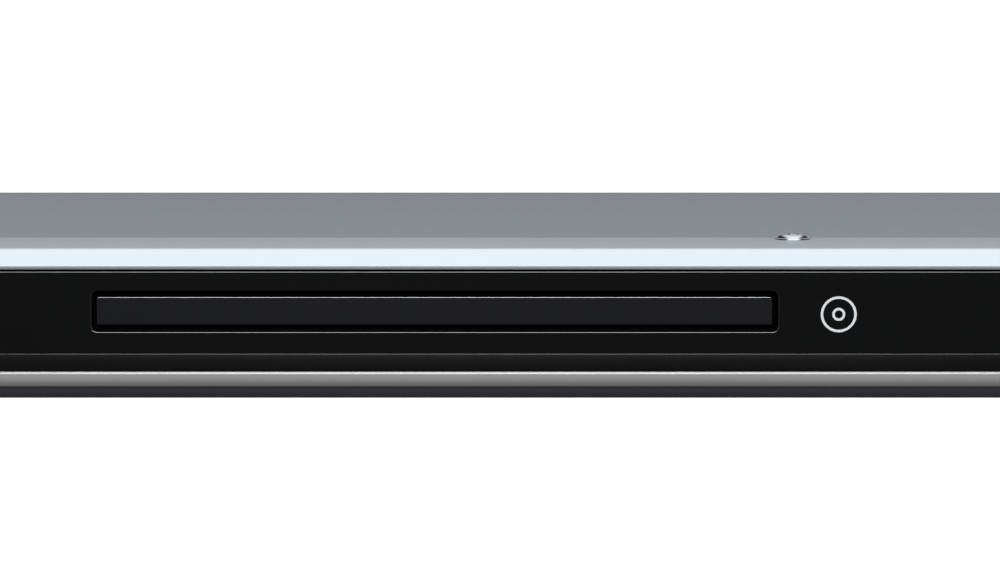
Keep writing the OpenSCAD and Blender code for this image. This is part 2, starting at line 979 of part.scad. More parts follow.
module loader_frame() {
    outer_x = around(tray_x, 2 * (wall_x + wall_t));
    inner_x = around(tray_x, 2 * wall_x);
    ledge_end = 40;
    sill_y = [frame_y[0], frame_y[0] + 1.4];
    sill_top = 14.7;
    pivot_post = [0.3, 4.5];
    cam_guide = [0.3, 3];
    post_top = 17.2;
    motor_cup = [11, 1.6];
    ledge_z = [tray_z[0] - slide_gap - ledge_t, tray_z[0] - slide_gap];
    tab_z = [tray_z[1] + tab_gap, tray_z[1] + tab_gap + tab_t];
    mid_z = [deck_top - eps, 14.5];
    guide_z = [deck_top - eps, 8];
    opening_x = [trav_x[0] - 2.5, trav_x[1] + 2.5];
    opening_y = [trav_y[0] - 2, trav_y[1] + 4];
    color("dimgray") raised() difference() {
        union() {
            block(outer_x, frame_y, [frame_z[0], deck_top]);
            block(outer_x, [frame_y[1] - wall_t, frame_y[1]], frame_z);
            block(outer_x, sill_y, [frame_z[0], sill_top]);
            block([outer_x[0], inner_x[0]], frame_y, frame_z);
            block([inner_x[1], outer_x[1]], frame_y, frame_z);
            block([inner_x[0] - eps, inner_x[0] + ledge_w], [frame_y[0], ledge_end], ledge_z);
            block([inner_x[1] - ledge_w, inner_x[1] + eps], [frame_y[0], ledge_end], ledge_z);
            for (y = tab_ys) {
                block([inner_x[0] - eps, inner_x[0] + ledge_w], [y, y + tab_len], tab_z);
                block([inner_x[1] - ledge_w, inner_x[1] + eps], [y, y + tab_len], tab_z);
            }
            block([opening_x[0] - pivot_post[1], opening_x[0] - pivot_post[0]], around(pivot_y, 10), mid_z);
            block([opening_x[1] + pivot_post[0], opening_x[1] + pivot_post[1]], around(pivot_y, 10), mid_z);
            for (x = [[-112, -100], [-66, -54]]) {
                block(x, [cam_y[0] - cam_guide[1], cam_y[0] - cam_guide[0]], guide_z);
                block(x, [cam_y[1] + cam_guide[0], cam_y[1] + cam_guide[1]], guide_z);
            }
            bar_z(drive_x, gear_y, [deck_top - eps, post_top], post_r);
            bar_z(pulley_x, gear_y, [deck_top - eps, post_top], post_r);
            bar_z(motor_x, motor_y, [deck_top - eps, motor_cup[0]], motor_r + motor_cup[1]);
        }
        block(opening_x, opening_y, [frame_z[0] - 1, deck_top + 1]);
        bar_z(motor_x, motor_y, [frame_z[0] - 1, 12], motor_r);
        bar_x([outer_x[0] + 1, outer_x[1] - 1], pivot_y, pivot_z, pivot_pin_r + running);
        for (x = leg_xs, y = leg_ys) bar_z(x, y, [frame_z[0] - 1, deck_top + 1], clear_hole_r);
    }
}

module loader_grommets() {
    grommet_r = 4.5;
    color([0.1, 0.1, 0.1]) raised() for (x = leg_xs, y = leg_ys) {
        difference() {
            bar_z(x, y, [sheet_t, frame_z[0]], grommet_r);
            bar_z(x, y, [sheet_t - 1, frame_z[0] + 1], clear_hole_r);
        }
    }
}

module loader_screws() {
    color("silver") raised() for (x = leg_xs, y = leg_ys) {
        translate([x, y, deck_top]) cross_screw(2.8, truss_h, deck_top - 0.2);
    }
}

module clamp_bridge() {
    bridge_l = 36;
    leg_low = 18;
    outer = wall_x + wall_t;
    plate_z = [frame_z[1], frame_z[1] + 2];
    bridge_y = around(disc_y, bridge_l);
    color("lightgray") raised() difference() {
        union() {
            block([tray_x - outer - 1, tray_x + outer + 1], bridge_y, plate_z);
            for (side = [-1, 1]) {
                block(around(tray_x + side * (outer + 0.5), 1), bridge_y, [leg_low, plate_z[0] + eps]);
            }
        }
        bar_z(tray_x, disc_y, [plate_z[0] - 1, plate_z[1] + 1], clamper_r + 0.8);
    }
}

module clamper() {
    bottom = 24;
    seat = 26.5;
    flange_r = clamper_r + 3.7;
    cap_r = 8;
    hollow = 1.2;
    color("whitesmoke") raised() translate([tray_x, disc_y, 0]) difference() {
        union() {
            bar_z(0, 0, [bottom, seat + eps], clamper_r);
            bar_z(0, 0, [seat, seat + 1.5], flange_r);
            bar_z(0, 0, [seat, seat + 3], cap_r);
        }
        bar_z(0, 0, [bottom - 1, bottom + hollow], centring_r + 0.6);
    }
}

module tray() {
    floor_z = [tray_z[0] - 1, tray_z[1] + 1];
    slot_round_y = disc_y + lens_slot_end - lens_slot_half;
    finger_y = disc_y - finger_reach / 2;
    color([0.09, 0.09, 0.1]) raised() {
        difference() {
            block([tray_x - tray_half, tray_x + tray_half], [tray_front, tray_rear], tray_z);
            bar_z(tray_x, disc_y, [disc_floor, floor_z[1]], disc_recess_r);
            bar_z(tray_x, disc_y, [small_floor, floor_z[1]], small_recess_r);
            bar_z(tray_x, disc_y, floor_z, hub_hole_r);
            block(around(tray_x, 2 * lens_slot_half), [disc_y, slot_round_y], floor_z);
            bar_z(tray_x, slot_round_y, floor_z, lens_slot_half);
            for (side = [-1, 1]) {
                bar_z(tray_x + side * finger_reach, finger_y, [disc_floor, floor_z[1]], finger_r);
            }
        }
        tray_front_wall();
        rack(rack_m, rack_x, rack_x - rack_back, rack_y, gear_y, [rack_z[0], rack_z[1] + eps]);
        block(guide_rib_x, [frame_y[0] + 2, 50], [rib_low, tray_z[0] + eps]);
    }
}

module tray_door() {
    mid_z = door_z + door_h / 2;
    color([0.11, 0.11, 0.12]) raised() {
        along_y([door_y, tray_front]) translate([tray_x, mid_z]) round_rect(door_w, door_h, door_corner_r);
        door_hooks(0);
    }
}

module loading_motor() {
    color("silver") raised() difference() {
        bar_z(motor_x, motor_y, motor_z, motor_r);
        bar_z(motor_x, motor_y, [8, motor_z[1] + 1], 1 + running);
    }
}

// Belt pulley with a groove, standing on z[0]
module pulley(r, z) {
    groove_w = 0.8;
    mid = (z[0] + z[1]) / 2;
    bar_z(0, 0, [z[0], mid - groove_w], r);
    bar_z(0, 0, [mid - groove_w - eps, mid + groove_w + eps], r - groove);
    bar_z(0, 0, [mid + groove_w, z[1]], r);
}

module motor_pulley() {
    color("whitesmoke") raised() translate([motor_x, motor_y, 0]) {
        pulley(motor_pulley_r, pulley_z);
        bar_z(0, 0, [8.5, pulley_z[0] + eps], 1);
    }
}

// Outline of the belt around both pulleys, grown outwards by extra
module belt_ring(extra) {
    small = motor_pulley_r - groove + belt_gap + extra;
    large = pulley_r - groove + belt_gap + extra;
    span = [pulley_x - motor_x, gear_y - motor_y];
    direction = atan2(span[1], span[0]);
    tangent = acos((small - large) / norm(span));
    polygon(concat(
        arc([0, 0], small, direction + tangent, direction + 360 - tangent, 20),
        arc(span, large, direction - tangent, direction + tangent, 32)
    ));
}

module loading_belt() {
    mid = (pulley_z[0] + pulley_z[1]) / 2;
    color([0.12, 0.12, 0.12]) raised() translate([motor_x, motor_y, mid - belt_w / 2])
        linear_extrude(belt_w) difference() {
            belt_ring(belt_w);
            belt_ring(0);
        }
}

module pulley_gear() {
    phase = 180 / pulley_teeth;
    color("ivory") raised() translate([pulley_x, gear_y, 0]) difference() {
        union() {
            bar_z(0, 0, [hub_z, wheel_z[0]], hub_r - 0.4);
            gear(pulley_teeth, wheel_m, phase, [wheel_z[0] - 0.2, wheel_z[1] + 0.2]);
            bar_z(0, 0, [wheel_z[1] + 0.1, pulley_z[0] + eps], 5);
            pulley(pulley_r, pulley_z);
        }
        bar_z(0, 0, [hub_z - 1, pulley_z[1] + 1], post_r + running);
    }
}

module drive_gear() {
    phase = 180 / drive_teeth;
    color("ivory") raised() translate([drive_x, gear_y, 0]) difference() {
        union() {
            bar_z(0, 0, [hub_z, wheel_z[0] + eps], hub_r);
            gear(wheel_teeth, wheel_m, 0, wheel_z);
            bar_z(0, 0, [wheel_z[1] - eps, pinion_z[0] + eps], 6);
            gear(drive_teeth, rack_m, phase, pinion_z);
        }
        bar_z(0, 0, [hub_z - 1, pinion_z[1] + 1], post_r + running);
    }
}

// Height of the traverse's front pin when the traverse is down
cam_mid_y = (cam_y[0] + cam_y[1]) / 2;
cam_low_z = pivot_z + (cam_mid_y - pivot_y) * sin(lower_angle) + (cam_pin_z - pivot_z) * cos(lower_angle);

module cam_slider() {
    slot_r = cam_pin_r + cam_clear;
    rise = [-cam_travel, cam_pin_z - cam_low_z];
    lie = atan2(rise[1], rise[0]);
    color("ivory") raised() along_y(cam_y) difference() {
        translate([tray_x - cam_travel / 2 - cam_half, cam_z[0]])
            square([2 * cam_half, cam_z[1] - cam_z[0]]);
        translate([tray_x, cam_low_z]) polygon(concat(
            arc([0, 0], slot_r, lie + 90, lie + 270, 8),
            arc(rise, slot_r, lie - 90, lie + 90, 8)
        ));
    }
}

// ---- Disc drive on the lifting traverse ----

// Turns the traverse down from its raised position
module lowered() {
    raised() translate([0, pivot_y, pivot_z]) rotate([lower_angle, 0, 0])
        translate([0, -pivot_y, -pivot_z]) children();
}

module traverse_frame() {
    pin_block = [6, 7];
    cam_block_z = [trav_z[1] - eps, cam_pin_z + cam_pin_r + 0.5];
    post_ys = [[rod_y[0], rod_y[0] + 5], [well_y[1], rod_y[1]]];
    color("gray") lowered() difference() {
        union() {
            difference() {
                block(trav_x, trav_y, trav_z);
                block(well_x, well_y, [trav_z[0] - 1, trav_z[1] + 1]);
            }
            for (x = rod_xs, y = post_ys) {
                block(around(x, rod_post), y, [trav_z[1] - eps, rod_z + rod_r + 0.6]);
            }
            block([trav_x[0], trav_x[0] + pin_block[0]], around(pivot_y, pin_block[1]), [trav_z[0], 13.5]);
            block([trav_x[1] - pin_block[0], trav_x[1]], around(pivot_y, pin_block[1]), [trav_z[0], 13.5]);
            bar_x([trav_x[0] - 5.5, trav_x[0] + 1], pivot_y, pivot_z, pivot_pin_r);
            bar_x([trav_x[1] - 1, trav_x[1] + 5.5], pivot_y, pivot_z, pivot_pin_r);
            block(around(tray_x, 8), [trav_y[0], trav_y[0] + 5], cam_block_z);
            bar_y(tray_x, [cam_y[0] - 1.5, trav_y[0] + 2], cam_pin_z, cam_pin_r);
            bar_z(sled_gear_x, sled_gear_y, [trav_z[1] - eps, 16.5], rod_r);
        }
        for (x = rod_xs) bar_y(x, rod_y, rod_z, rod_r);
        bar_z(sled_motor_x, sled_motor_y, [trav_z[0] - 1, trav_z[1] + 1], sled_motor_r + running);
    }
}

module guide_rods() {
    color("silver") lowered() for (x = rod_xs) bar_y(x, rod_y, rod_z, rod_r);
}

module spindle_motor() {
    color("silver") lowered() translate([tray_x, disc_y, 0]) {
        bar_z(0, 0, spindle_z, spindle_r);
        bar_z(0, 0, [spindle_z[1] - eps, disc_seat_z - 1], 1);
    }
}

module turntable() {
    color([0.1, 0.1, 0.1]) lowered() translate([tray_x, disc_y, 0]) difference() {
        union() {
            bar_z(0, 0, [spindle_z[1] + 0.3, disc_seat_z], turntable_r);
            bar_z(0, 0, [disc_seat_z - eps, hub_top_z - 0.7], centring_r);
            translate([0, 0, hub_top_z - 0.7]) cylinder(h = 0.7, r1 = centring_r, r2 = centring_r - 1.6);
        }
        bar_z(0, 0, [spindle_z[1], disc_seat_z - 0.8], 1 + running);
    }
}

module pickup_sled() {
    bearing_y = [sled_y[0] + 1, sled_y[0] + 25];
    rack_back_x = rod_xs[1] + 2.2;
    bearing_end = [rod_xs[0] - 4, rod_xs[1] + 4];
    color([0.15, 0.15, 0.17]) lowered() difference() {
        union() {
            block(sled_x, sled_y, sled_z);
            block([bearing_end[0], sled_x[0] + eps], bearing_y, bearing_z);
            block([sled_x[1] - eps, bearing_end[1]], bearing_y, bearing_z);
            rack(sled_rack_m, sled_rack_x, rack_back_x, [sled_y[0], 13], sled_gear_y, sled_rack_z);
        }
        for (x = rod_xs) bar_y(x, rod_y, rod_z, rod_r + running);
    }
}

module objective_lens() {
    dome_r = 6;
    color("lightblue") lowered() translate([tray_x, lens_y, 0]) intersection() {
        bar_z(0, 0, [sled_z[1], lens_top], lens_r);
        translate([0, 0, lens_top - dome_r]) sphere(dome_r);
    }
}

module sled_motor() {
    color("silver") lowered() difference() {
        bar_z(sled_motor_x, sled_motor_y, sled_motor_z, sled_motor_r);
        bar_z(sled_motor_x, sled_motor_y, [10, sled_motor_z[1] + 1], 0.8 + running);
    }
}

module sled_pinion() {
    phase = 180 / sled_motor_teeth;
    color("ivory") lowered() translate([sled_motor_x, sled_motor_y, 0]) {
        gear(sled_motor_teeth, sled_wheel_m, phase, [sled_wheel_z[0] - 0.2, sled_wheel_z[1] + 0.2]);
        bar_z(0, 0, [10.5, sled_wheel_z[0] - 0.1], 0.8);
    }
}

module sled_gear() {
    phase = 180 / sled_pinion_teeth;
    color("ivory") lowered() translate([sled_gear_x, sled_gear_y, 0]) difference() {
        union() {
            gear(sled_pinion_teeth, sled_rack_m, phase, sled_pinion_z);
            bar_z(0, 0, [sled_pinion_z[1] - eps, sled_wheel_z[0] + eps], 3.6);
            gear(sled_wheel_teeth, sled_wheel_m, 0, sled_wheel_z);
        }
        bar_z(0, 0, [sled_pinion_z[0] - 1, sled_wheel_z[1] + 1], rod_r + running);
    }
}

top_cover();
chassis_base();
rear_panel();
front_panel();
lower_trim_strip();
lower_bezel();
feet();
foot_screws();
cover_front_screw();
cover_side_screws();
cover_rear_screws();
display_window();
display_module();
standby_lamp();
infrared_receiver();
control_board();
power_switch_board();
tact_switches();
power_button();
open_close_button();
play_button();
stop_button();
skip_button();
mains_inlet();
power_board();
transformer();
bulk_capacitor();
heatsink();
main_board();
decoder_chip();
video_jacks();
audio_jacks();
digital_jack();
s_video_socket();
board_standoffs();
board_screws();
ribbon_cable();
loader_frame();
loader_grommets();
loader_screws();
clamp_bridge();
clamper();
tray();
tray_door();
loading_motor();
motor_pulley();
loading_belt();
pulley_gear();
drive_gear();
cam_slider();
traverse_frame();
guide_rods();
spindle_motor();
turntable();
pickup_sled();
objective_lens();
sled_motor();
sled_pinion();
sled_gear();
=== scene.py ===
# %% [markdown]
# # A slim disc player with a drawer tray
#
# The player is a wide, low box: a painted steel cover over a steel base, a gloss black front with a long tray
# door, a bright strip and a dark band under it. The solids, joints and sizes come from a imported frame. This
# lesson gives them their real surfaces: rounded edges, screws, sockets, printed marks and a finish for every
# material.
#
# We work in millimetres, because that is how such a case is drawn, and turn them into metres in one place.

# %% Load the frame
import json
import math

import bmesh
import bpy
from mathutils import Matrix, Vector


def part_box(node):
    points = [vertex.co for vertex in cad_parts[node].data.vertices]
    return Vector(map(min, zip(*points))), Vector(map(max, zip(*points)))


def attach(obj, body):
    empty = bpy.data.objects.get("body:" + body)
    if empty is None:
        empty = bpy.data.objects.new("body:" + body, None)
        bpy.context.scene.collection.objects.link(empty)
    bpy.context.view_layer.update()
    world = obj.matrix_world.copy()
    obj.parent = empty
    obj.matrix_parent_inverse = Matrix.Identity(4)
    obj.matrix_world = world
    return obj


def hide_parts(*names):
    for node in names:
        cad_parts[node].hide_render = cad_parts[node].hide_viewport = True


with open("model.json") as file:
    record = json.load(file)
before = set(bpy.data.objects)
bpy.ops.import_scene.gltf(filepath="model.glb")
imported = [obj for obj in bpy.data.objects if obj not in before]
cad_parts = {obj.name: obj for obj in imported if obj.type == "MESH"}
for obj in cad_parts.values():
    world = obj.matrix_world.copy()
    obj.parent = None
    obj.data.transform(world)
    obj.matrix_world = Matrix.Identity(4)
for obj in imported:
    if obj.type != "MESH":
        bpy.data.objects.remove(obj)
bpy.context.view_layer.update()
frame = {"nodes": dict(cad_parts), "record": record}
MM = 0.001
FULL_TURN = 2 * math.pi
SLOT_OF = {part["node"]: part["material_slot"] for part in frame["record"]["subparts"]}
BODY_OF = {node: body for body, nodes in frame["record"]["behaviour"]["bodies"].items() for node in nodes}


def box_mm(node):
    """Lowest and highest corner of a CAD node, in millimetres."""
    low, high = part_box(node)
    return low / MM, high / MM


COVER_LOW, COVER_HIGH = box_mm("top_cover")
PANEL_LOW, PANEL_HIGH = box_mm("front_panel")
DOOR_LOW, DOOR_HIGH = box_mm("tray_door")
HALF_WIDTH = COVER_HIGH.x
FACE_Y = COVER_LOW.y
CASE_BOTTOM = box_mm("feet")[1].z
print("case", round(2 * HALF_WIDTH), "mm wide, front face at", round(FACE_Y, 1), "mm")

# %% [markdown]
# ## Camera
#
# A product picture of a wide, low box is taken from far away with a long lens, so that its front stays
# straight. The camera stands a little above the cover and looks slightly down: we see a narrow slice of the
# top. It looks at the middle of the front only, and both ends of the case run out of the frame.

# %% Camera
scene = bpy.context.scene
CAMERA_PLACE = (-0.0657, -1.114, 0.097)
CAMERA_PITCH = 3.9
LENS = 162.4
SENSOR_WIDTH = 36


def new_object(name, data):
    """An object for a camera, a lamp, a mesh or a curve, linked to the scene."""
    obj = bpy.data.objects.new(name, data)
    scene.collection.objects.link(obj)
    return obj


camera_data = bpy.data.cameras.new("camera")
camera_data.lens = LENS
camera_data.sensor_width = SENSOR_WIDTH
camera = new_object("camera", camera_data)
camera.location = CAMERA_PLACE
camera.rotation_euler = (math.radians(90 - CAMERA_PITCH), 0, 0)
bpy.context.scene.camera = camera
print("camera stands", round(-camera.location.y - abs(FACE_Y) * MM, 2), "m in front of the case")

# %% [markdown]
# ## World
#
# The backdrop should look white, yet it must not light the object, or every dark part would turn grey. The
# Light Path node knows what kind of ray asks for a colour. So the world is white to rays that the camera, a
# shiny surface or clear plastic sends out, and nearly black to all others. The small helpers keep this tree and
# later ones short.

# %% World
scene.view_settings.view_transform = "Standard"
AMBIENT = 0.03
BACKDROP = 1.0
WHITE = (1, 1, 1, 1)


def feed(tree, socket, value):
    """Gives a socket its value: a link where the value is another socket, and its own value otherwise."""
    if isinstance(value, bpy.types.NodeSocket):
        tree.links.new(value, socket)
    else:
        socket.default_value = value


def math_node(tree, operation, first, second):
    """A Math node whose two inputs are sockets or plain numbers."""
    node = tree.nodes.new("ShaderNodeMath")
    node.operation = operation
    feed(tree, node.inputs[0], first)
    feed(tree, node.inputs[1], second)
    return node.outputs[0]


def ranged(tree, mask, low, high):
    """Turns a mask from 0 to 1 into a value from low to high."""
    node = tree.nodes.new("ShaderNodeMapRange")
    node.inputs["To Min"].default_value = low
    node.inputs["To Max"].default_value = high
    tree.links.new(mask, node.inputs["Value"])
    return node.outputs[0]


def seen_directly(tree):
    """A socket that is 1 for camera, glossy and transmission rays, and 0 for the rest."""
    path = tree.nodes.new("ShaderNodeLightPath")
    shown = math_node(tree, "MAXIMUM", path.outputs["Is Camera Ray"], path.outputs["Is Glossy Ray"])
    return math_node(tree, "MAXIMUM", shown, path.outputs["Is Transmission Ray"])


def make_world():
    world = bpy.data.worlds.new("studio")
    world.use_nodes = True
    tree = world.node_tree
    background = tree.nodes["Background"]
    background.inputs["Color"].default_value = WHITE
    tree.links.new(ranged(tree, seen_directly(tree), AMBIENT, BACKDROP), background.inputs["Strength"])
    scene.world = world


make_world()
print("world gives", AMBIENT, "as light and shows", BACKDROP, "as backdrop")

# %% [markdown]
# ## Floor
#
# A wide plane keeps the object's shadow, which tells the eye that the object stands on something.

# %% Floor
FLOOR_HALF = 60.0
FLOOR_GLOW = 0.85
FLOOR_VALUES = {"Base Color": (0.8, 0.8, 0.8, 1), "Roughness": 0.9, "Specular IOR Level": 0.0,
                "Emission Color": WHITE}


def make_floor():
    """A wide white floor that keeps the object's shadow but shows as pure white elsewhere."""
    side = FLOOR_HALF
    mesh = bpy.data.meshes.new("floor")
    corners = [(-side, -side, 0), (side, -side, 0), (side, side, 0), (-side, side, 0)]
    mesh.from_pydata(corners, [], [(0, 1, 2, 3)])
    floor = new_object("floor", mesh)
    material = bpy.data.materials.new("floor_white")
    material.use_nodes = True
    tree = material.node_tree
    shader = tree.nodes["Principled BSDF"]
    for title, value in FLOOR_VALUES.items():
        shader.inputs[title].default_value = value
    tree.links.new(ranged(tree, seen_directly(tree), 0.0, FLOOR_GLOW), shader.inputs["Emission Strength"])
    floor.data.materials.append(material)


make_floor()
print("floor", round(2 * FLOOR_HALF), "m wide")

# %% [markdown]
# ## Lamps
#
# A large soft lamp stands in front, low and in the middle. An upright face gets nearly all of its light, and
# the flat top gets only a glancing share: that is why the lip of the cover shines and its top looks grey. Weak,
# low lamps on the other sides keep the ends and the back readable.

# %% Lamps
LAMPS = {"key_lamp": (0, 15, 3.5, 21), "left_lamp": (-97, 0, 1.6, 20), "right_lamp": (97, 0, 1.6, 20),
         "back_lamp": (180, 0, 2.0, 20)}


def sun(name, azimuth, elevation, strength, softness):
    """A lamp that shines from an azimuth (0 is the front, 90 its right) and an elevation, in degrees."""
    data = bpy.data.lights.new(name, "SUN")
    data.energy = strength
    data.angle = math.radians(softness)
    new_object(name, data).rotation_euler = (math.radians(90 - elevation), 0, math.radians(azimuth))


for name, values in LAMPS.items():
    sun(name, *values)
print(len(LAMPS), "lamps:", ", ".join(LAMPS))

# %% [markdown]
# ## Node groups for effects
#
# An effect that several materials share is a node group: it is built once, has named inputs and an output, and
# is placed in each material with values of its own. A group gives out a mask or a height only, and the shader
# itself stays in the material. Noise reads Object coordinates, so a pattern stays on its piece when the piece
# moves.

# %% Node groups for effects
def new_group(name, **inputs):
    """A shader node group with float inputs (name=default) and one output, its mask."""
    group = bpy.data.node_groups.new(name, "ShaderNodeTree")
    for title, value in inputs.items():
        socket = group.interface.new_socket(title, in_out="INPUT", socket_type="NodeSocketFloat")
        socket.default_value = value
    group.interface.new_socket("Mask", in_out="OUTPUT", socket_type="NodeSocketFloat")
    return group, group.nodes.new("NodeGroupInput").outputs


def end_group(group, mask):
    """Links the mask to the group's output."""
    group.links.new(mask, group.nodes.new("NodeGroupOutput").inputs["Mask"])
    return group


def object_noise(tree, scale, detail, stretch=(1, 1, 1)):
    """Noise on Object coordinates, in features per metre, squeezed along each axis by stretch."""
    place = tree.nodes.new("ShaderNodeTexCoord")
    mapping = tree.nodes.new("ShaderNodeMapping")
    mapping.inputs["Scale"].default_value = stretch
    noise = tree.nodes.new("ShaderNodeTexNoise")
    noise.inputs["Detail"].default_value = detail
    tree.links.new(place.outputs["Object"], mapping.inputs["Vector"])
    tree.links.new(mapping.outputs["Vector"], noise.inputs["Vector"])
    feed(tree, noise.inputs["Scale"], scale)
    return noise.outputs["Fac"]


def contrasted(group, given, value):
    """The value spread about one half by the group's Contrast input."""
    spread = math_node(group, "MULTIPLY", math_node(group, "SUBTRACT", value, 0.5), given["Contrast"])
    return math_node(group, "ADD", spread, 0.5)


print("group helpers ready")

# %% [markdown]
# ## Grain, clouds, lines and wear
#
# No real surface is one flat colour. Paint has a fine grain and faint clouds, moulded plastic has a soft
# texture, sheet steel shows the direction in which it was rolled, and edges that hands touch are a little
# lighter. Three of these effects are noise of different size and stretch. The fourth compares the true normal
# with a rounded one, which differs from it only near an edge.

# %% Grain, clouds, lines and wear
def grain_group():
    """Fine even grain: a mask from 0 to 1 around its middle."""
    group, given = new_group("fine_grain", Scale=1500.0, Contrast=1.0)
    return end_group(group, contrasted(group, given, object_noise(group, given["Scale"], 3)))


def cloud_group():
    """Faint large clouds, as handling and uneven coating leave."""
    group, given = new_group("soft_clouds", Scale=14.0, Contrast=1.0)
    large = object_noise(group, given["Scale"], 2, (1, 1, 1.6))
    small = object_noise(group, math_node(group, "MULTIPLY", given["Scale"], 7.0), 4)
    parts = (math_node(group, "MULTIPLY", large, 0.7), math_node(group, "MULTIPLY", small, 0.3))
    return end_group(group, contrasted(group, given, math_node(group, "ADD", *parts)))


def rolled_group():
    """Long fine lines along X, as on rolled or brushed metal."""
    group, given = new_group("rolled_lines", Scale=2500.0, Contrast=1.0)
    return end_group(group, contrasted(group, given, object_noise(group, given["Scale"], 4, (0.015, 1, 1))))


def wear_group():
    """A mask that is 1 on edges: a rounded normal differs from the true one only near them."""
    group, given = new_group("edge_wear", Radius=0.0004, Strength=1.0)
    rounded = group.nodes.new("ShaderNodeBevel")
    rounded.samples = 4
    flat = group.nodes.new("ShaderNodeNewGeometry")
    facing = group.nodes.new("ShaderNodeVectorMath")
    facing.operation = "DOT_PRODUCT"
    group.links.new(given["Radius"], rounded.inputs["Radius"])
    group.links.new(rounded.outputs["Normal"], facing.inputs[0])
    group.links.new(flat.outputs["Normal"], facing.inputs[1])
    turned = math_node(group, "SUBTRACT", 1.0, facing.outputs["Value"])
    broken = math_node(group, "MULTIPLY", turned, object_noise(group, 320.0, 3))
    clamp = group.nodes.new("ShaderNodeClamp")
    group.links.new(math_node(group, "MULTIPLY", broken, given["Strength"]), clamp.inputs["Value"])
    return end_group(group, clamp.outputs[0])


EFFECTS = {"grain": grain_group(), "clouds": cloud_group(), "lines": rolled_group(), "wear": wear_group()}
print("effects from noise and edges:", ", ".join(EFFECTS))

# %% [markdown]
# ## Leaning faces and a crowned sheet
#
# Two effects follow the shape. One finds the faces that lean by some amount, from their normals in Object
# coordinates, so that a finish can differ between a flat face and its rounded rims. The other is the height of
# a sheet that is slightly crowned, which real sheets are: as a bump it bends the light on a large flat face.

# %% Leaning faces and a crowned sheet
def lean_group():
    """A mask that is 1 where a face leans by an amount between Full and Last, and fades to 0 at Start and
    End. The amount is the height of its normal, or its sideways share where Sideways is 1."""
    group, given = new_group("leaning_faces", Sideways=0.0, Start=0.0, Full=0.1, Last=0.9, End=1.0)
    place = group.nodes.new("ShaderNodeTexCoord")
    across = group.nodes.new("ShaderNodeSeparateXYZ")
    group.links.new(place.outputs["Normal"], across.inputs[0])
    choose = group.nodes.new("ShaderNodeMix")
    group.links.new(given["Sideways"], choose.inputs["Factor"])
    group.links.new(across.outputs["Z"], choose.inputs["A"])
    group.links.new(math_node(group, "ABSOLUTE", across.outputs["X"], 0.0), choose.inputs["B"])
    ramps = []
    for first, last in (("Start", "Full"), ("End", "Last")):
        ramp = group.nodes.new("ShaderNodeMapRange")
        group.links.new(choose.outputs["Result"], ramp.inputs["Value"])
        group.links.new(given[first], ramp.inputs["From Min"])
        group.links.new(given[last], ramp.inputs["From Max"])
        ramps.append(ramp.outputs[0])
    return end_group(group, math_node(group, "MULTIPLY", *ramps))


def crown_group():
    """The height of a sheet that curves down from Start along Y, to the back (Side 1) or the front (-1)."""
    group, given = new_group("sheet_crown", Start=-0.1, Side=1.0, Fall=0.11)
    place = group.nodes.new("ShaderNodeTexCoord")
    across = group.nodes.new("ShaderNodeSeparateXYZ")
    group.links.new(place.outputs["Object"], across.inputs[0])
    past = math_node(group, "SUBTRACT", across.outputs["Y"], given["Start"])
    along = math_node(group, "MAXIMUM", math_node(group, "MULTIPLY", past, given["Side"]), 0.0)
    fallen = math_node(group, "MULTIPLY", math_node(group, "MULTIPLY", along, along), given["Fall"])
    return end_group(group, math_node(group, "MULTIPLY", fallen, -1.0))


EFFECTS.update({"lean": lean_group(), "crown": crown_group()})
print(len(EFFECTS), "effects in all")

# %% [markdown]
# ## Mixing colours and adding bumps
#
# A finish is made from few steps: an effect is placed in the material, two colours are mixed by its mask, and a
# bump is added. A bump goes on top of those that are there, so grain and crown can work on the same sheet.

# %% Mixing colours and adding bumps
def place_effect(material, effect, **values):
    """A node group in a material, with its own values. Gives the mask."""
    tree = material.node_tree
    node = tree.nodes.new("ShaderNodeGroup")
    node.node_tree = EFFECTS[effect]
    for title, value in values.items():
        node.inputs[title].default_value = value
    return node.outputs["Mask"]


def mix_colours(tree, mask, first, second):
    """A colour between two, by a mask. The first may be a socket or a plain colour."""
    mix = tree.nodes.new("ShaderNodeMix")
    mix.data_type = "RGBA"
    tree.links.new(mask, mix.inputs["Factor"])
    feed(tree, mix.inputs["A"], first)
    mix.inputs["B"].default_value = second
    return mix.outputs["Result"]


def scaled(colour, factor=1.0):
    """A colour made lighter or darker, with its alpha."""
    return tuple(min(1.0, channel * factor) for channel in colour) + (1,)


def add_bump(material, mask, strength, depth_mm):
    """Adds a bump on top of those that the material already has."""
    tree = material.node_tree
    normal = tree.nodes["Principled BSDF"].inputs["Normal"]
    bump = tree.nodes.new("ShaderNodeBump")
    bump.inputs["Strength"].default_value = strength
    bump.inputs["Distance"].default_value = depth_mm * MM
    tree.links.new(mask, bump.inputs["Height"])
    if normal.is_linked:
        tree.links.new(normal.links[0].from_socket, bump.inputs["Normal"])
    tree.links.new(bump.outputs["Normal"], normal)


print("colour and bump helpers ready")

# %% [markdown]
# ## Rims that catch the lamp
#
# A gloss front mirrors a dark room in its flat faces and a bright lamp along its edges. The lamp here is a wide
# soft one, so the mirror image is steered instead: the specular level is raised on rims that lean back a
# little, and is nothing on faces that look up or square to the side.

# %% Rims that catch the lamp
RIMS = {"Start": 0.05, "Full": 0.1, "Last": 0.26, "End": 0.38}
UPRIGHT = {"Start": -0.9, "Full": -0.7, "Last": 0.3, "End": 0.5}
SIDE_RIMS = {"Sideways": 1.0, "Start": 0.1, "Full": 0.3, "Last": 0.8, "End": 0.95}
NOT_SIDEWAYS = {"Sideways": 1.0, "Start": -2.0, "Full": -1.0, "Last": 0.8, "End": 0.95}
# Faces that lean this far sideways get a painted dark reflection in their colour.
PAINTED_REFLECTION_SIDES = {"Sideways": 1.0, "Start": 0.22, "Full": 0.42, "Last": 2.0, "End": 3.0}


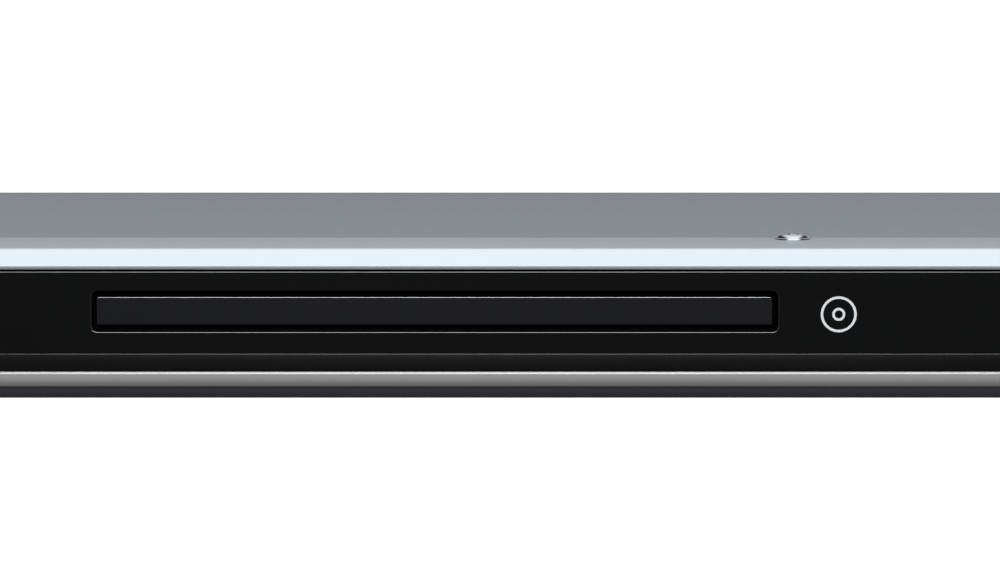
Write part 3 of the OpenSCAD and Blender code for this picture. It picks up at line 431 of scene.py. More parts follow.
def light_rims(material, specular, rim_specular, side_specular):
    """Masks the specular level, so that only the rims mirror the lamp."""
    tree = material.node_tree
    rims = ranged(tree, place_effect(material, "lean", **RIMS), specular, rim_specular)
    side_rims = ranged(tree, place_effect(material, "lean", **SIDE_RIMS), 0.0, side_specular)
    masks = [place_effect(material, "lean", **mask) for mask in (UPRIGHT, NOT_SIDEWAYS)]
    upright = math_node(tree, "MULTIPLY", *masks)
    level = math_node(tree, "MULTIPLY", upright, math_node(tree, "ADD", rims, side_rims))
    tree.links.new(level, tree.nodes["Principled BSDF"].inputs["Specular IOR Level"])


print("rims shine where their normal rises from", RIMS["Start"], "to", RIMS["End"])

# %% [markdown]
# ## One builder for all finishes
#
# Every finish here is a Principled surface whose colour and roughness drift a little, with a small bump. The
# builder places the effects that a finish asks for and wires them to Base Color, Roughness and Normal. Values
# that are the same all over, such as Metallic, are set on the shader's own sockets.

# %% One builder for all finishes
GRAIN_CONTRAST = 1.6
CLOUD_CONTRAST = 2.0
WEAR_STRENGTH = 2.2
GRAIN_DEPTH = 0.05
GRAIN_SHARE = 0.5
GRAIN_DRIFT = 1.5


def make_finish(name, colour, rough, metallic=0.0, specular=0.3, drift=0.06, grain=1500.0, bump=0.1,
                texture="grain", worn=None, coat=0.0, rim_specular=None, side_specular=0.0, painted_dark_reflection=None):
    """A finish: its colour drifts by a share, rough is (smoothest, roughest), worn is the colour of its edges,
    rim_specular the specular level where it leans back, side_specular what its sides get on top of the level,
    and painted_dark_reflection the colour painted on sideways-facing sides:
    a painted reflection of a dark room."""
    material = bpy.data.materials.new(name)
    material.use_nodes = True
    tree = material.node_tree
    shader = tree.nodes["Principled BSDF"]
    fine = place_effect(material, texture, Scale=grain, Contrast=GRAIN_CONTRAST)
    clouds = place_effect(material, "clouds", Contrast=CLOUD_CONTRAST)
    tone = mix_colours(tree, clouds, scaled(colour, 1 - drift), scaled(colour, 1 + drift))
    grainy = scaled(colour, 1 + GRAIN_DRIFT * drift)
    tone = mix_colours(tree, ranged(tree, fine, 0.0, GRAIN_SHARE), tone, grainy)
    if worn:
        tone = mix_colours(tree, place_effect(material, "wear", Strength=WEAR_STRENGTH), tone, scaled(worn))
    # Painted reflection: sideways-facing sides get a darker colour, as if they mirrored a dark room.
    if painted_dark_reflection:
        tone = mix_colours(tree, place_effect(material, "lean", **PAINTED_REFLECTION_SIDES), tone, scaled(painted_dark_reflection))
    tree.links.new(tone, shader.inputs["Base Color"])
    tree.links.new(ranged(tree, clouds, *rough), shader.inputs["Roughness"])
    shader.inputs["Metallic"].default_value = metallic
    shader.inputs["Specular IOR Level"].default_value = specular
    shader.inputs["Coat Weight"].default_value = coat
    if rim_specular:
        light_rims(material, specular, rim_specular, side_specular)
    if bump:
        add_bump(material, fine, bump, GRAIN_DEPTH)
    return material


FINISHES = {}


def make_finishes(**table):
    """Makes a finish from each row, which is its colour, its roughness and what else it asks for."""
    for name, (colour, rough, more) in table.items():
        FINISHES[name] = make_finish(name, colour, rough, **more)
    print(len(table), "finishes:", ", ".join(table))


print("finish builder ready")

# %% [markdown]
# ## Finishes of the case
#
# The cover is matt paint on steel. Its top is crowned by a hair, and its sloped band is curved a little more:
# two bumps with a soft profile make the light on both change gradually, as it does on bent sheet. The panel and
# the door are black mouldings of different gloss, and the strip is plastic sprayed silver, so it isn't a metal
# to the shader.

# %% Finishes of the case
make_finishes(
    cover_paint=((0.644, 0.711, 0.769), (0.55, 0.65), dict(specular=0.0, drift=0.012, grain=2600.0, bump=0.12)),
    case_steel=((0.60, 0.61, 0.62), (0.32, 0.48), dict(metallic=0.9, drift=0.05, texture="lines", bump=0.08)),
    screw_steel=((0.50, 0.51, 0.52), (0.26, 0.36), dict(metallic=0.9, drift=0.08)),
    # The screw head and its washer get a painted dark reflection on their sideways-facing sides.
    screw_bright=((0.80, 0.85, 0.90), (0.3, 0.4), dict(
        specular=0.1, drift=0.05, rim_specular=0.3, painted_dark_reflection=(0.035, 0.04, 0.05))),
    panel_black=((0.0008, 0.0010, 0.0013), (0.12, 0.14), dict(
        specular=0.05, drift=0.05, grain=4000.0, bump=0.01, rim_specular=0.32, side_specular=0.1)),
    door_black=((0.0027, 0.0030, 0.0044), (0.22, 0.24), dict(
        specular=0.05, drift=0.05, grain=3000.0, bump=0.03, rim_specular=0.8, side_specular=0.15)),
    button_black=((0.012, 0.012, 0.014), (0.28, 0.36), dict(specular=0.2, worn=(0.05, 0.05, 0.055))),
    trim_silver=((0.212, 0.213, 0.215), (0.20, 0.22), dict(
        specular=0.25, drift=0.02, texture="lines", bump=0.03, rim_specular=0.26)),
    bezel_grey=((0.0132, 0.0132, 0.0165), (0.45, 0.55), dict(specular=0.08, drift=0.06)),
    # A near-black felt for the sheet behind the door's gap: painted shade that makes the gap read black.
    seal_felt=((0.0012, 0.0012, 0.0014), (0.85, 0.95), dict(specular=0.0, drift=0.2, grain=6000.0, bump=0.5)),
    foot_rubber=((0.03, 0.03, 0.03), (0.75, 0.9), dict(drift=0.15, bump=0.4)),
    white_film=((0.55, 0.56, 0.58), (0.4, 0.5), dict(specular=0.1, drift=0.05)))

CROWN_DEPTH = 1000
CROWNS = ({}, {"Start": -0.1035, "Side": -1.0, "Fall": 4.2})
for crown in CROWNS:
    add_bump(FINISHES["cover_paint"], place_effect(FINISHES["cover_paint"], "crown", **crown), 1.0, CROWN_DEPTH)
print("the cover's paint has", len(CROWNS), "crown bumps")

# %% [markdown]
# ## Finishes of the controls, the boards and the sockets
#
# The window, the lamp and the receiver are tinted plastic, and look like smooth dark surfaces from outside.
# Boards are lacquered resin, and the metal of sockets, fins and legs shows how it was rolled or plated.

# %% Finishes of the controls, the boards and the sockets
make_finishes(
    window_smoke=((0.006, 0.002, 0.003), (0.06, 0.10), dict(specular=0.25, drift=0.05, bump=0.0)),
    display_glass=((0.05, 0.08, 0.08), (0.06, 0.1), dict(specular=0.5)),
    lamp_red=((0.30, 0.012, 0.012), (0.12, 0.2), dict(specular=0.5, coat=0.4, bump=0.02)),
    receiver_dark=((0.02, 0.012, 0.02), (0.1, 0.16), dict(specular=0.5)),
    board_green=((0.015, 0.11, 0.045), (0.25, 0.4), dict(specular=0.5, drift=0.25)),
    board_brown=((0.32, 0.20, 0.09), (0.45, 0.6), dict(drift=0.12)),
    switch_metal=((0.6, 0.6, 0.6), (0.25, 0.4), dict(metallic=1.0)),
    chip_black=((0.02, 0.02, 0.022), (0.5, 0.62), dict(grain=3000.0, bump=0.3)),
    winding_yellow=((0.6, 0.42, 0.06), (0.3, 0.42), dict(drift=0.1)),
    capacitor_sleeve=((0.015, 0.025, 0.11), (0.2, 0.3), dict(specular=0.5)),
    fin_aluminium=((0.75, 0.75, 0.76), (0.3, 0.45), dict(metallic=1.0, texture="lines")),
    inlet_black=((0.02, 0.02, 0.021), (0.42, 0.55), dict(bump=0.2, worn=(0.06, 0.06, 0.06))),
    jack_nickel=((0.74, 0.71, 0.65), (0.14, 0.26), dict(metallic=1.0, drift=0.08)),
    socket_black=((0.02, 0.02, 0.02), (0.4, 0.5), dict(bump=0.2)),
    standoff_brass=((0.7, 0.52, 0.26), (0.25, 0.4), dict(metallic=1.0)))

# %% [markdown]
# ## Finishes of the loader and the disc drive
#
# The tray and its frame are dark mouldings with a fine texture. Gears are left in the colour of their plastic,
# the rods are ground steel, and the lens is a small dome of coated plastic. Then every CAD object gets its own
# finish.

# %% Finishes of the loader and the disc drive
make_finishes(
    loader_plastic=((0.022, 0.022, 0.024), (0.5, 0.62), dict(
        specular=0.12, grain=2200.0, bump=0.25, worn=(0.05, 0.05, 0.05))),
    tray_plastic=((0.012, 0.012, 0.0135), (0.42, 0.54), dict(
        specular=0.25, grain=2800.0, bump=0.3, worn=(0.03, 0.03, 0.032))),
    clamper_plastic=((0.7, 0.7, 0.68), (0.4, 0.5), dict(drift=0.04)),
    motor_can=((0.62, 0.62, 0.63), (0.22, 0.34), dict(metallic=1.0, texture="lines")),
    gear_ivory=((0.74, 0.71, 0.62), (0.4, 0.5), dict(drift=0.05)),
    belt_rubber=((0.015, 0.015, 0.015), (0.6, 0.75), dict(bump=0.3)),
    traverse_plastic=((0.06, 0.06, 0.066), (0.5, 0.6), dict(bump=0.25)),
    rod_steel=((0.78, 0.78, 0.79), (0.1, 0.18), dict(metallic=1.0, drift=0.03)),
    turntable_rubber=((0.025, 0.025, 0.025), (0.6, 0.72), dict(bump=0.3)),
    sled_metal=((0.30, 0.30, 0.32), (0.35, 0.5), dict(metallic=0.8, drift=0.1)),
    lens_glass=((0.30, 0.42, 0.62), (0.03, 0.05), dict(specular=0.6, coat=1.0, bump=0.0)))

for node, obj in frame["nodes"].items():
    obj.data.materials.clear()
    obj.data.materials.append(FINISHES[SLOT_OF[node]])
print(len(frame["nodes"]), "solids have their finish")

# %% [markdown]
# ## Making and mending meshes
#
# A new piece starts from points and faces. A solid from the frame comes as loose triangles, so its doubles are
# merged and its flat faces joined before anything is done with its edges. These are steps of a BMesh, which is
# Blender's own mesh editor, and one helper runs any number of them in a row.

# %% Making and mending meshes
MERGE_DISTANCE = 0.002
FLAT_WITHIN = 0.6


def mesh_piece(name, points, faces):
    """An object from points in millimetres."""
    mesh = bpy.data.meshes.new(name)
    mesh.from_pydata([Vector(point) * MM for point in points], [], faces)
    return new_object(name, mesh)


def edit_mesh(mesh, *steps):
    """Runs steps, each a function of a BMesh, on a mesh."""
    work = bmesh.new()
    work.from_mesh(mesh)
    for step in steps:
        step(work)
    work.to_mesh(mesh)
    work.free()
    mesh.update()


def merge_doubles(work):
    bmesh.ops.remove_doubles(work, verts=work.verts, dist=MERGE_DISTANCE * MM)


def face_outwards(work):
    bmesh.ops.recalc_face_normals(work, faces=work.faces)


def join_flat_faces(work):
    """Joins the triangles of a flat face into one, and drops points on straight edges."""
    bmesh.ops.dissolve_limit(work, angle_limit=math.radians(FLAT_WITHIN), verts=work.verts, edges=work.edges)


print("flat faces are joined within", FLAT_WITHIN, "degrees")

# %% [markdown]
# ## Rounded edges and shading
#
# Real edges are never perfectly sharp: sheet metal is bent over a radius, and a moulding has a small rounding
# on every edge. A rounded edge catches a thin line of light, and that line is most of what tells the eye that a
# part is real. So nearly every piece below ends with a Bevel modifier, which is then made part of the mesh.
# Normals that are weighted by area keep the large faces beside it flat, so that no shadow of the rounding runs
# over them.

# %% Rounded edges and shading
def evaluated_mesh(obj):
    """A plain mesh of what the object shows, with its modifiers or its curve's thickness."""
    return bpy.data.meshes.new_from_object(obj.evaluated_get(bpy.context.evaluated_depsgraph_get()))


def make_plain(obj):
    """Replaces the object's data by its evaluated mesh, with its modifiers applied."""
    plain = evaluated_mesh(obj)
    obj.modifiers.clear()
    obj.data = plain
    return obj


def shade(obj, angle=40):
    """Smooth shading, broken at edges that are sharper than an angle."""
    obj.data.shade_smooth()
    obj.data.set_sharp_from_angle(angle=math.radians(angle))
    return obj


def shade_flat(obj, angle=40):
    """Smooth shading in which large flat faces stay flat up to their rounded rims."""
    flatten = shade(obj, angle).modifiers.new("flat_faces", "WEIGHTED_NORMAL")
    flatten.keep_sharp = True
    return make_plain(obj)


def round_edges(obj, width, segments=2, angle=30):
    """Rounds the edges that are sharper than an angle, and keeps flat faces flat in the shading."""
    bevel = obj.modifiers.new("rounding", "BEVEL")
    bevel.width = width * MM
    bevel.segments = segments
    bevel.limit_method = "ANGLE"
    bevel.angle_limit = math.radians(angle)
    bevel.use_clamp_overlap = True
    return shade_flat(make_plain(obj), 50)


print("edge and shading helpers ready")

# %% [markdown]
# ## From a solid to a finished piece
#
# Many parts already have the right shape as a solid: we copy its mesh, merge its points and round its edges.
# Each piece then gets the finish of its material slot, or another that is named, is hung on the body it rides
# on, and hides the solids it stands for.

# %% From a solid to a finished piece
def softened(node, width, segments=2, angle=30):
    """A copy of a CAD node's mesh with merged points, whose edges are rounded if sharper than an angle."""
    mesh = frame["nodes"][node].data.copy()
    obj = new_object(node + "_rounded", mesh)
    edit_mesh(mesh, merge_doubles, join_flat_faces)
    return round_edges(obj, width, segments, angle)


def dress(obj, slot, body, *nodes, finish=None):
    """Gives a piece the finish of its slot (or the finish named), hangs it on its body, and hides the CAD nodes
    it stands for.
    """
    obj.data.materials.clear()
    obj.data.materials.append(FINISHES[finish or slot])
    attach(obj, body)
    if nodes:
        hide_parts(*nodes)
    print(obj.name, "-", len(obj.data.polygons), "faces, rides on", body)
    return obj


def dress_softened(**widths):
    """Rounds CAD nodes, each by its own width, and gives them the finish of their own slot and their own body.
    """
    for node, width in widths.items():
        dress(softened(node, width), SLOT_OF[node], BODY_OF[node], node)


print("a piece can be made from each of", len(SLOT_OF), "solids")

# %% [markdown]
# ## Placing and joining pieces
#
# A piece is drawn where that is easy, mostly flat and about the origin, and then put in its place. We move its
# points and leave its object at the origin, unturned: a joint can then carry it, and a pattern on Object
# coordinates stays where it is. What is moulded as one part is joined into one object.

# %% Placing and joining pieces
TO_FRONT = Matrix.Rotation(math.radians(90), 4, "X")
TO_BACK = Matrix.Rotation(math.radians(-90), 4, "X")


def move_mesh(obj, matrix):
    """Moves an object's points: its place is in its mesh."""
    obj.data.transform(matrix)
    obj.data.update()
    return obj


def at(x, y, z):
    return Matrix.Translation(Vector((x, y, z)) * MM)


def join_pieces(name, pieces):
    """Joins several plain meshes into one object."""
    work = bmesh.new()
    for piece in pieces:
        work.from_mesh(piece.data)
        bpy.data.objects.remove(piece)
    mesh = bpy.data.meshes.new(name)
    work.to_mesh(mesh)
    work.free()
    return new_object(name, mesh)


print("a flat drawing is turned by", round(math.degrees(TO_FRONT.to_euler().x)), "degrees to face the front")

# %% [markdown]
# ## Bars
#
# Three ways of drawing make all the new pieces. The first is the bar: a side view that runs along the width, as
# a drawn or moulded profile does. Its side view is a rectangle, or a line of short bends whose tilts are given,
# which is how a sheet metal drawing describes it.

# %% Bars
BEND_STEP = 8


def rectangle(depths, heights):
    """A rectangle of (depth, height) points, from two ranges."""
    return [(depths[0], heights[0]), (depths[1], heights[0]), (depths[1], heights[1]), (depths[0], heights[1])]


def bent_line(start, stretches):
    """A line of (depth, height) points drawn downwards from a start. Each stretch is (length, angle from,
    angle to): the angles say how far its face looks up from the front, so 90 is a level top and 0 upright."""
    points = [start]
    for length, first, last in stretches:
        steps = max(1, round(abs(last - first) / BEND_STEP))
        for step in range(steps):
            tilt = math.radians(first + (last - first) * (step + 0.5) / steps)
            depth, height = points[-1]
            points.append((depth - length / steps * math.sin(tilt), height - length / steps * math.cos(tilt)))
    return points


def bend_on(line, stretches):
    """The line with more stretches at its end."""
    return line[:-1] + bent_line(line[-1], stretches)


def sweep(name, outline, x_from, x_to):
    """A bar along X from a closed outline of (depth, height) points."""
    count = len(outline)
    points = [(x, y, z) for x in (x_from, x_to) for y, z in outline]
    sides = [(i, (i + 1) % count, count + (i + 1) % count, count + i) for i in range(count)]
    ends = [tuple(range(count)), tuple(range(2 * count - 1, count - 1, -1))]
    swept = mesh_piece(name, points, sides + ends)
    edit_mesh(swept.data, face_outwards)
    return swept


print("bars bend in steps of", BEND_STEP, "degrees")

# %% [markdown]
# ## Turned parts
#
# Screw heads, feet, pins and phono sockets are turned or moulded round an axis. A profile of a few points goes
# round that axis in steps. A profile that is closed makes a ring, such as a sleeve or a washer.

# %% Turned parts
TURN_STEPS = 48


def lathe(name, outline, steps=TURN_STEPS, closed=False):
    """A turned solid about Z from (radius, height) points, which end on the axis or close to a ring."""
    points, faces, rings = [], [], []
    for radius, height in outline:
        if radius == 0:
            rings.append([len(points)])
            points.append((0, 0, height))
            continue
        rings.append(list(range(len(points), len(points) + steps)))
        turns = [FULL_TURN * step / steps for step in range(steps)]
        points += [(radius * math.cos(turn), radius * math.sin(turn), height) for turn in turns]
    for lower, upper in zip(rings, rings[1:] + rings[:1] if closed else rings[1:]):
        for step in range(steps):
            after = (step + 1) % steps
            corners = [lower[step % len(lower)], lower[after % len(lower)],
                       upper[after % len(upper)], upper[step % len(upper)]]
            faces.append(tuple(dict.fromkeys(corners)))
    turned = mesh_piece(name, points, [face for face in faces if len(face) > 2])
    edit_mesh(turned.data, face_outwards)
    return turned


print("turned parts have", TURN_STEPS, "steps unless they say otherwise")

# %% [markdown]
# ## Plates
#
# A plate is a flat drawing with holes. A filled 2D curve is made for this: its first loop is the outline, the
# other loops are holes, and its own bevel rounds the outline and every hole at once.

# %% Plates
def round_loop(middle, width, height, radius, steps=6):
    """A rectangle with round corners as a loop of points."""
    loop = []
    for corner, (side, up) in enumerate(((1, 1), (-1, 1), (-1, -1), (1, -1))):
        centre = (middle[0] + side * (width / 2 - radius), middle[1] + up * (height / 2 - radius))
        for step in range(steps + 1):
            turn = math.radians(90 * (corner + step / steps))
            loop.append((centre[0] + radius * math.cos(turn), centre[1] + radius * math.sin(turn)))
    return loop


def box_loop(low, high, radius, steps=6, inset=0.0):
    """The rectangle between two corners of a box seen from the front, with round corners."""
    middle = ((low.x + high.x) / 2, (low.z + high.z) / 2)
    return round_loop(middle, high.x - low.x - 2 * inset, high.z - low.z - 2 * inset, radius, steps)


def circle_loop(middle, radius, steps=40):
    turns = [FULL_TURN * step / steps for step in range(steps)]
    return [(middle[0] + radius * math.cos(turn), middle[1] + radius * math.sin(turn)) for turn in turns]


def plate(name, loops, thickness, rounding, steps=2):
    """A flat plate from loops of points: the first is its outline and the others are holes."""
    curve = bpy.data.curves.new(name, "CURVE")
    curve.dimensions = "2D"
    curve.fill_mode = "BOTH"
    curve.extrude = (thickness / 2 - rounding) * MM
    curve.bevel_depth = rounding * MM
    curve.bevel_resolution = steps
    curve.offset = -rounding * MM
    for loop in loops:
        spline = curve.splines.new("POLY")
        spline.points.add(len(loop) - 1)
        for point, (across, up) in zip(spline.points, loop):
            point.co = (across * MM, up * MM, 0, 1)
        spline.use_cyclic_u = True
    drawn = new_object(name + "_curve", curve)
    mesh = evaluated_mesh(drawn)
    bpy.data.objects.remove(drawn)
    mesh.name = name
    edit_mesh(mesh, merge_doubles, join_flat_faces, face_outwards)
    return shade_flat(new_object(name, mesh), 35)


def upright_plate(name, loops, thickness, rounding, middle_y, steps=2):
    """A plate drawn in width and height, which stands with its middle at a depth."""
    return move_mesh(plate(name, loops, thickness, rounding, steps), at(0, middle_y, 0) @ TO_FRONT)


print("plate helpers ready")

# %% [markdown]
# ## Cover
#
# The cover is one sheet of painted steel, bent down at both sides and over the front into a bright lip. Its
# shape follows from a few bends, so the solid already has it: we take a copy, merge its points and round its
# edges. The band in front slopes by a few degrees only, so even slight bends are rounded.

# %% Cover
COVER_ROUNDING = 0.2
SLIGHTEST_BEND = 8
dress(softened("top_cover", COVER_ROUNDING, 3, SLIGHTEST_BEND), "cover_paint", "case", "top_cover")

# %% [markdown]
# ## Holes in the front
#
# The front has a long opening for the tray, a window, a row of button holes and a small lamp hole. Each hole is
# the outline of the part that goes through it, grown by a gap, so that a hole and its part always fit each
# other.

# %% Holes in the front
PANEL_CORNER = 0.4
OPENING_LEFT = 1.08
OPENING_RIGHT = 1.52
OPENING_BELOW = 1.46
OPENING_ABOVE = 1.15
OPENING_CORNER = 1.2
BUTTON_FLANGE = 1.0
BUTTON_GAP = 0.3
BUTTON_CORNER = 1.2
LAMP_GAP = 0.05
BAR_BUTTONS = ("open_close_button", "play_button", "stop_button", "skip_button")


def middle_of(node):
    low, high = box_mm(node)
    return (low + high) / 2


def front_view(node):
    """A CAD node's middle, width and height, seen from the front."""
    low, high = box_mm(node)
    middle = middle_of(node)
    return (middle.x, middle.z), high.x - low.x, high.z - low.z


def opening_loop():
    """The outline of the tray's opening, which is wider to the right of the door than to its left."""
    low = (DOOR_LOW.x - OPENING_LEFT, DOOR_LOW.z - OPENING_BELOW)
    high = (DOOR_HIGH.x + OPENING_RIGHT, DOOR_HIGH.z + OPENING_ABOVE)
    middle = ((low[0] + high[0]) / 2, (low[1] + high[1]) / 2)
    return round_loop(middle, high[0] - low[0], high[1] - low[1], OPENING_CORNER)


def button_loop(node, gap):
    """The outline of a button's cap, grown by a gap."""
    middle, width, height = front_view(node)
    grow = 2 * (gap - BUTTON_FLANGE)
    return round_loop(middle, width + grow, height + grow, BUTTON_CORNER + gap)


POWER_MIDDLE, POWER_WIDTH, _ = front_view("power_button")
POWER_RADIUS = POWER_WIDTH / 2 - BUTTON_FLANGE
LAMP_MIDDLE, LAMP_WIDTH, _ = front_view("standby_lamp")


def front_holes():
    holes = [opening_loop(), round_loop(*front_view("display_window"), PANEL_CORNER, 3),
             circle_loop(POWER_MIDDLE, POWER_RADIUS + BUTTON_GAP),
             circle_loop(LAMP_MIDDLE, LAMP_WIDTH / 2 + LAMP_GAP, 20)]
    return holes + [button_loop(node, BUTTON_GAP) for node in BAR_BUTTONS]


print(len(front_holes()), "holes in the front")

# %% [markdown]
# ## Front panel
#
# The front is a gloss black moulding, and the rounded rims of its holes show as thin lines of light. Below a
# fine crease the face leans forward by three degrees and straightens again. A shelf under the cover's lip, a
# boss for the cover's screw and two side returns hold the face. The flat part is a plate, and the others are
# bars.

# %% Front panel
PANEL_THICK = 3.0
PANEL_BACK = FACE_Y + PANEL_THICK
PANEL_TOP = CASE_BOTTOM + 28.1
PANEL_RIM = 0.35
CREASE_Z = CASE_BOTTOM + 9.76
CREASE = [(0.2, 50, 50), (0.1, 50, 4), (0.1, 4, 3)]
BEVEL_TILTS = (3.15, 2.75, 2.1)
BEVEL_FOOT = (0.25, 0, -20)
BEVEL_FOOT_HEIGHT = 0.2
BEHIND_BEVEL = 1
STEP_INSIDE = 0.3
SHELF_THICK = 1.5
SHELF_DEPTH = 10.0
RETURN_THICK = 2.5
BOSS_Y = FACE_Y + 12
BOSS_HALF = (6, 3)
FRAME_INTO_FACE = 0.5
FRAME_ROUNDING = 0.2


def panel_face():
    """The flat part above the crease, with its holes."""
    low = CREASE_Z - BEHIND_BEVEL
    outline = round_loop((0, (low + PANEL_TOP) / 2), 2 * HALF_WIDTH, PANEL_TOP - low, PANEL_CORNER, 3)
    loops = [outline] + front_holes()
    return upright_plate("panel_face", loops, PANEL_THICK, PANEL_RIM, FACE_Y + PANEL_THICK / 2, 3)


def panel_bevel():
    """The lower part: a small step along the crease, then a face that leans forward and straightens."""
    line = bent_line((FACE_Y, CREASE_Z), CREASE)
    share = (line[-1][1] - PANEL_LOW.z - BEVEL_FOOT_HEIGHT) / len(BEVEL_TILTS)
    line = bend_on(bend_on(line, [(share, tilt, tilt) for tilt in BEVEL_TILTS]), [BEVEL_FOOT])
    outline = [(FACE_Y + STEP_INSIDE, CREASE_Z)] + line + [(PANEL_BACK, line[-1][1]), (PANEL_BACK, CREASE_Z)]
    return shade(sweep("panel_bevel", outline, -HALF_WIDTH, HALF_WIDTH))


def panel_frame():
    """What holds the face: the shelf under the cover's lip, the boss for its screw and the two side returns."""
    start = PANEL_BACK - FRAME_INTO_FACE
    shelf_bottom = PANEL_TOP - SHELF_THICK
    shelf = rectangle((start, FACE_Y + SHELF_DEPTH), (shelf_bottom, PANEL_TOP))
    side = rectangle((start, PANEL_HIGH.y), (PANEL_LOW.z, PANEL_TOP))
    boss = rectangle((BOSS_Y - BOSS_HALF[1], BOSS_Y + BOSS_HALF[1]), (shelf_bottom, PANEL_HIGH.z))
    parts = [sweep("shelf", shelf, -HALF_WIDTH + FRAME_INTO_FACE, HALF_WIDTH - FRAME_INTO_FACE),
             sweep("side_return", side, -HALF_WIDTH, -HALF_WIDTH + RETURN_THICK),
             sweep("side_return", side, HALF_WIDTH - RETURN_THICK, HALF_WIDTH),
             sweep("boss", boss, -BOSS_HALF[0], BOSS_HALF[0])]
    return [round_edges(part, FRAME_ROUNDING) for part in parts]


front_piece = shade_flat(join_pieces("front_moulding", [panel_face(), panel_bevel()] + panel_frame()))
dress(front_piece, "panel_black", "case", "front_panel")

# %% [markdown]
# ## Tray door
#
# The door is a separate bar clipped to the tray's front by two hooks, a little narrower than its opening so
# that a dark gap runs all round. Its face is flat and its edges are rounded: the upper edge catches the lamp. A
# frame of near-black felt round its back fills the gap to the opening: it is painted shade, a dark sheet that
# makes the gap read as deep shadow.

# %% Tray door
DOOR_THICK = 4.0
DOOR_RIM = 0.28
DOOR_CORNER = 0.5
DOOR_BACK = DOOR_LOW.y + DOOR_THICK
DOOR_MORE = (Vector((0, 0, 0.12)), Vector((0.2, 0, -0.03)))
HOOK_X = 60
HOOK_HALF = 3
HOOK_HEIGHTS = (DOOR_LOW.z + 0.3, DOOR_LOW.z + 1.9)
HOOK_ROUNDING = 0.2
HOOK_INTO_DOOR = 0.5
# Sizes of the near-black sheet behind the door, which is painted shade in the gap round it.
SHADE_SHEET_THICK = 0.4
SHADE_SHEET_SUNK = 0.02
SHADE_SHEET_MORE = (Vector((0.95, 0, 1.35)), Vector((0.9, 0, 0.9)))
SHADE_SHEET_UNDER = 0.7
SHADE_SHEET_CORNER = 0.3
SHADE_SHEET_RIM = 0.05


def tray_door():
    low, high = DOOR_LOW - DOOR_MORE[0], DOOR_HIGH + DOOR_MORE[1]
    outline = box_loop(low, high, DOOR_CORNER, 4)
    parts = [upright_plate("door_bar", [outline], DOOR_THICK, DOOR_RIM, DOOR_LOW.y + DOOR_THICK / 2, 3)]
    hook = rectangle((DOOR_BACK - HOOK_INTO_DOOR, DOOR_HIGH.y), HOOK_HEIGHTS)
    for side in (-1, 1):
        x = (low.x + high.x) / 2 + side * HOOK_X
        parts.append(round_edges(sweep("hook", hook, x - HOOK_HALF, x + HOOK_HALF), HOOK_ROUNDING))
    return shade_flat(join_pieces("door_moulding", parts))


def door_seal():
    """A frame of near-black felt round the back of the door that fills the gap to the opening: painted shade.
    """
    outer = box_loop(DOOR_LOW - SHADE_SHEET_MORE[0], DOOR_HIGH + SHADE_SHEET_MORE[1], SHADE_SHEET_CORNER, 3)
    inner = box_loop(DOOR_LOW, DOOR_HIGH, SHADE_SHEET_CORNER, 3, SHADE_SHEET_UNDER)
    middle_y = DOOR_BACK - SHADE_SHEET_THICK / 2 + SHADE_SHEET_SUNK
    return upright_plate("door_seal", [outer, inner], SHADE_SHEET_THICK, SHADE_SHEET_RIM, middle_y)


# The sheet behind the door is painted shade: it makes the gap round the door read black.
dress(door_seal(), "tray_plastic", "tray", finish="seal_felt")
dress(tray_door(), "door_black", "tray", "tray_door")

# %% [markdown]
# ## Trim strip
#
# Under the black panel runs a convex silver strip. Its upper edge has a tight radius that mirrors the lamp as
# one bright line, and its face falls away gently below. It is a bar whose side view is made of short bends, so
# that each bend can be set by its length and its angles.

# %% Trim strip
STRIP_LOW, STRIP_HIGH = box_mm("lower_trim_strip")
STRIP_START = (STRIP_LOW.y + 0.55, STRIP_HIGH.z - 0.1)
STRIP_EDGE = [(0.1, 90, 90), (0.3, 90, 13), (0.355, 13, 7), (0.15, 7, 0)]
STRIP_CURVE = [(0.6, 0, -10), (0.45, -10, -28), (0.5, -28, -43), (0.62, -43, -44), (0.75, -44, -45),
               (0.55, -45, -46)]
STRIP_OVERLAP = 0.09
STRIP_BACK_DROP = 0.6


def strip_outline():
    """A tight upper corner, a narrow face that leans back, then a curve that turns under."""
    line = bent_line(STRIP_START, STRIP_EDGE)
    fill = (line[-1][1] - STRIP_LOW.z + STRIP_OVERLAP) / -bent_line((0, 0), STRIP_CURVE)[-1][1]
    line = bend_on(line, [(length * fill, first, last) for length, first, last in STRIP_CURVE])
    return [(STRIP_HIGH.y, line[0][1] - STRIP_BACK_DROP)] + line + [(STRIP_HIGH.y, line[-1][1])]


strip = shade(sweep("silver_strip", strip_outline(), STRIP_LOW.x, STRIP_HIGH.x), 50)
dress(strip, "trim_silver", "case", "lower_trim_strip")

# %% [markdown]
# ## Lower band
#
# Under the strip runs a dark matt band whose foot turns in, with a wall that carries the strip and a short
# piece at each end. It is drawn in the same way.

# %% Lower band
BAND_HIGH = box_mm("lower_bezel")[1]
BAND_START = (FACE_Y - 0.15, STRIP_LOW.z)
BAND_FACE = [(0.3, -14, -4), (0.7, 2, -2), (1.07, -2, -20), (0.35, -20, -34), (0.25, -34, -85)]
BAND_WALL = (FACE_Y + 1.8, FACE_Y + 3.8)
BAND_END_THICK = 2
BAND_END_INTO = 0.2


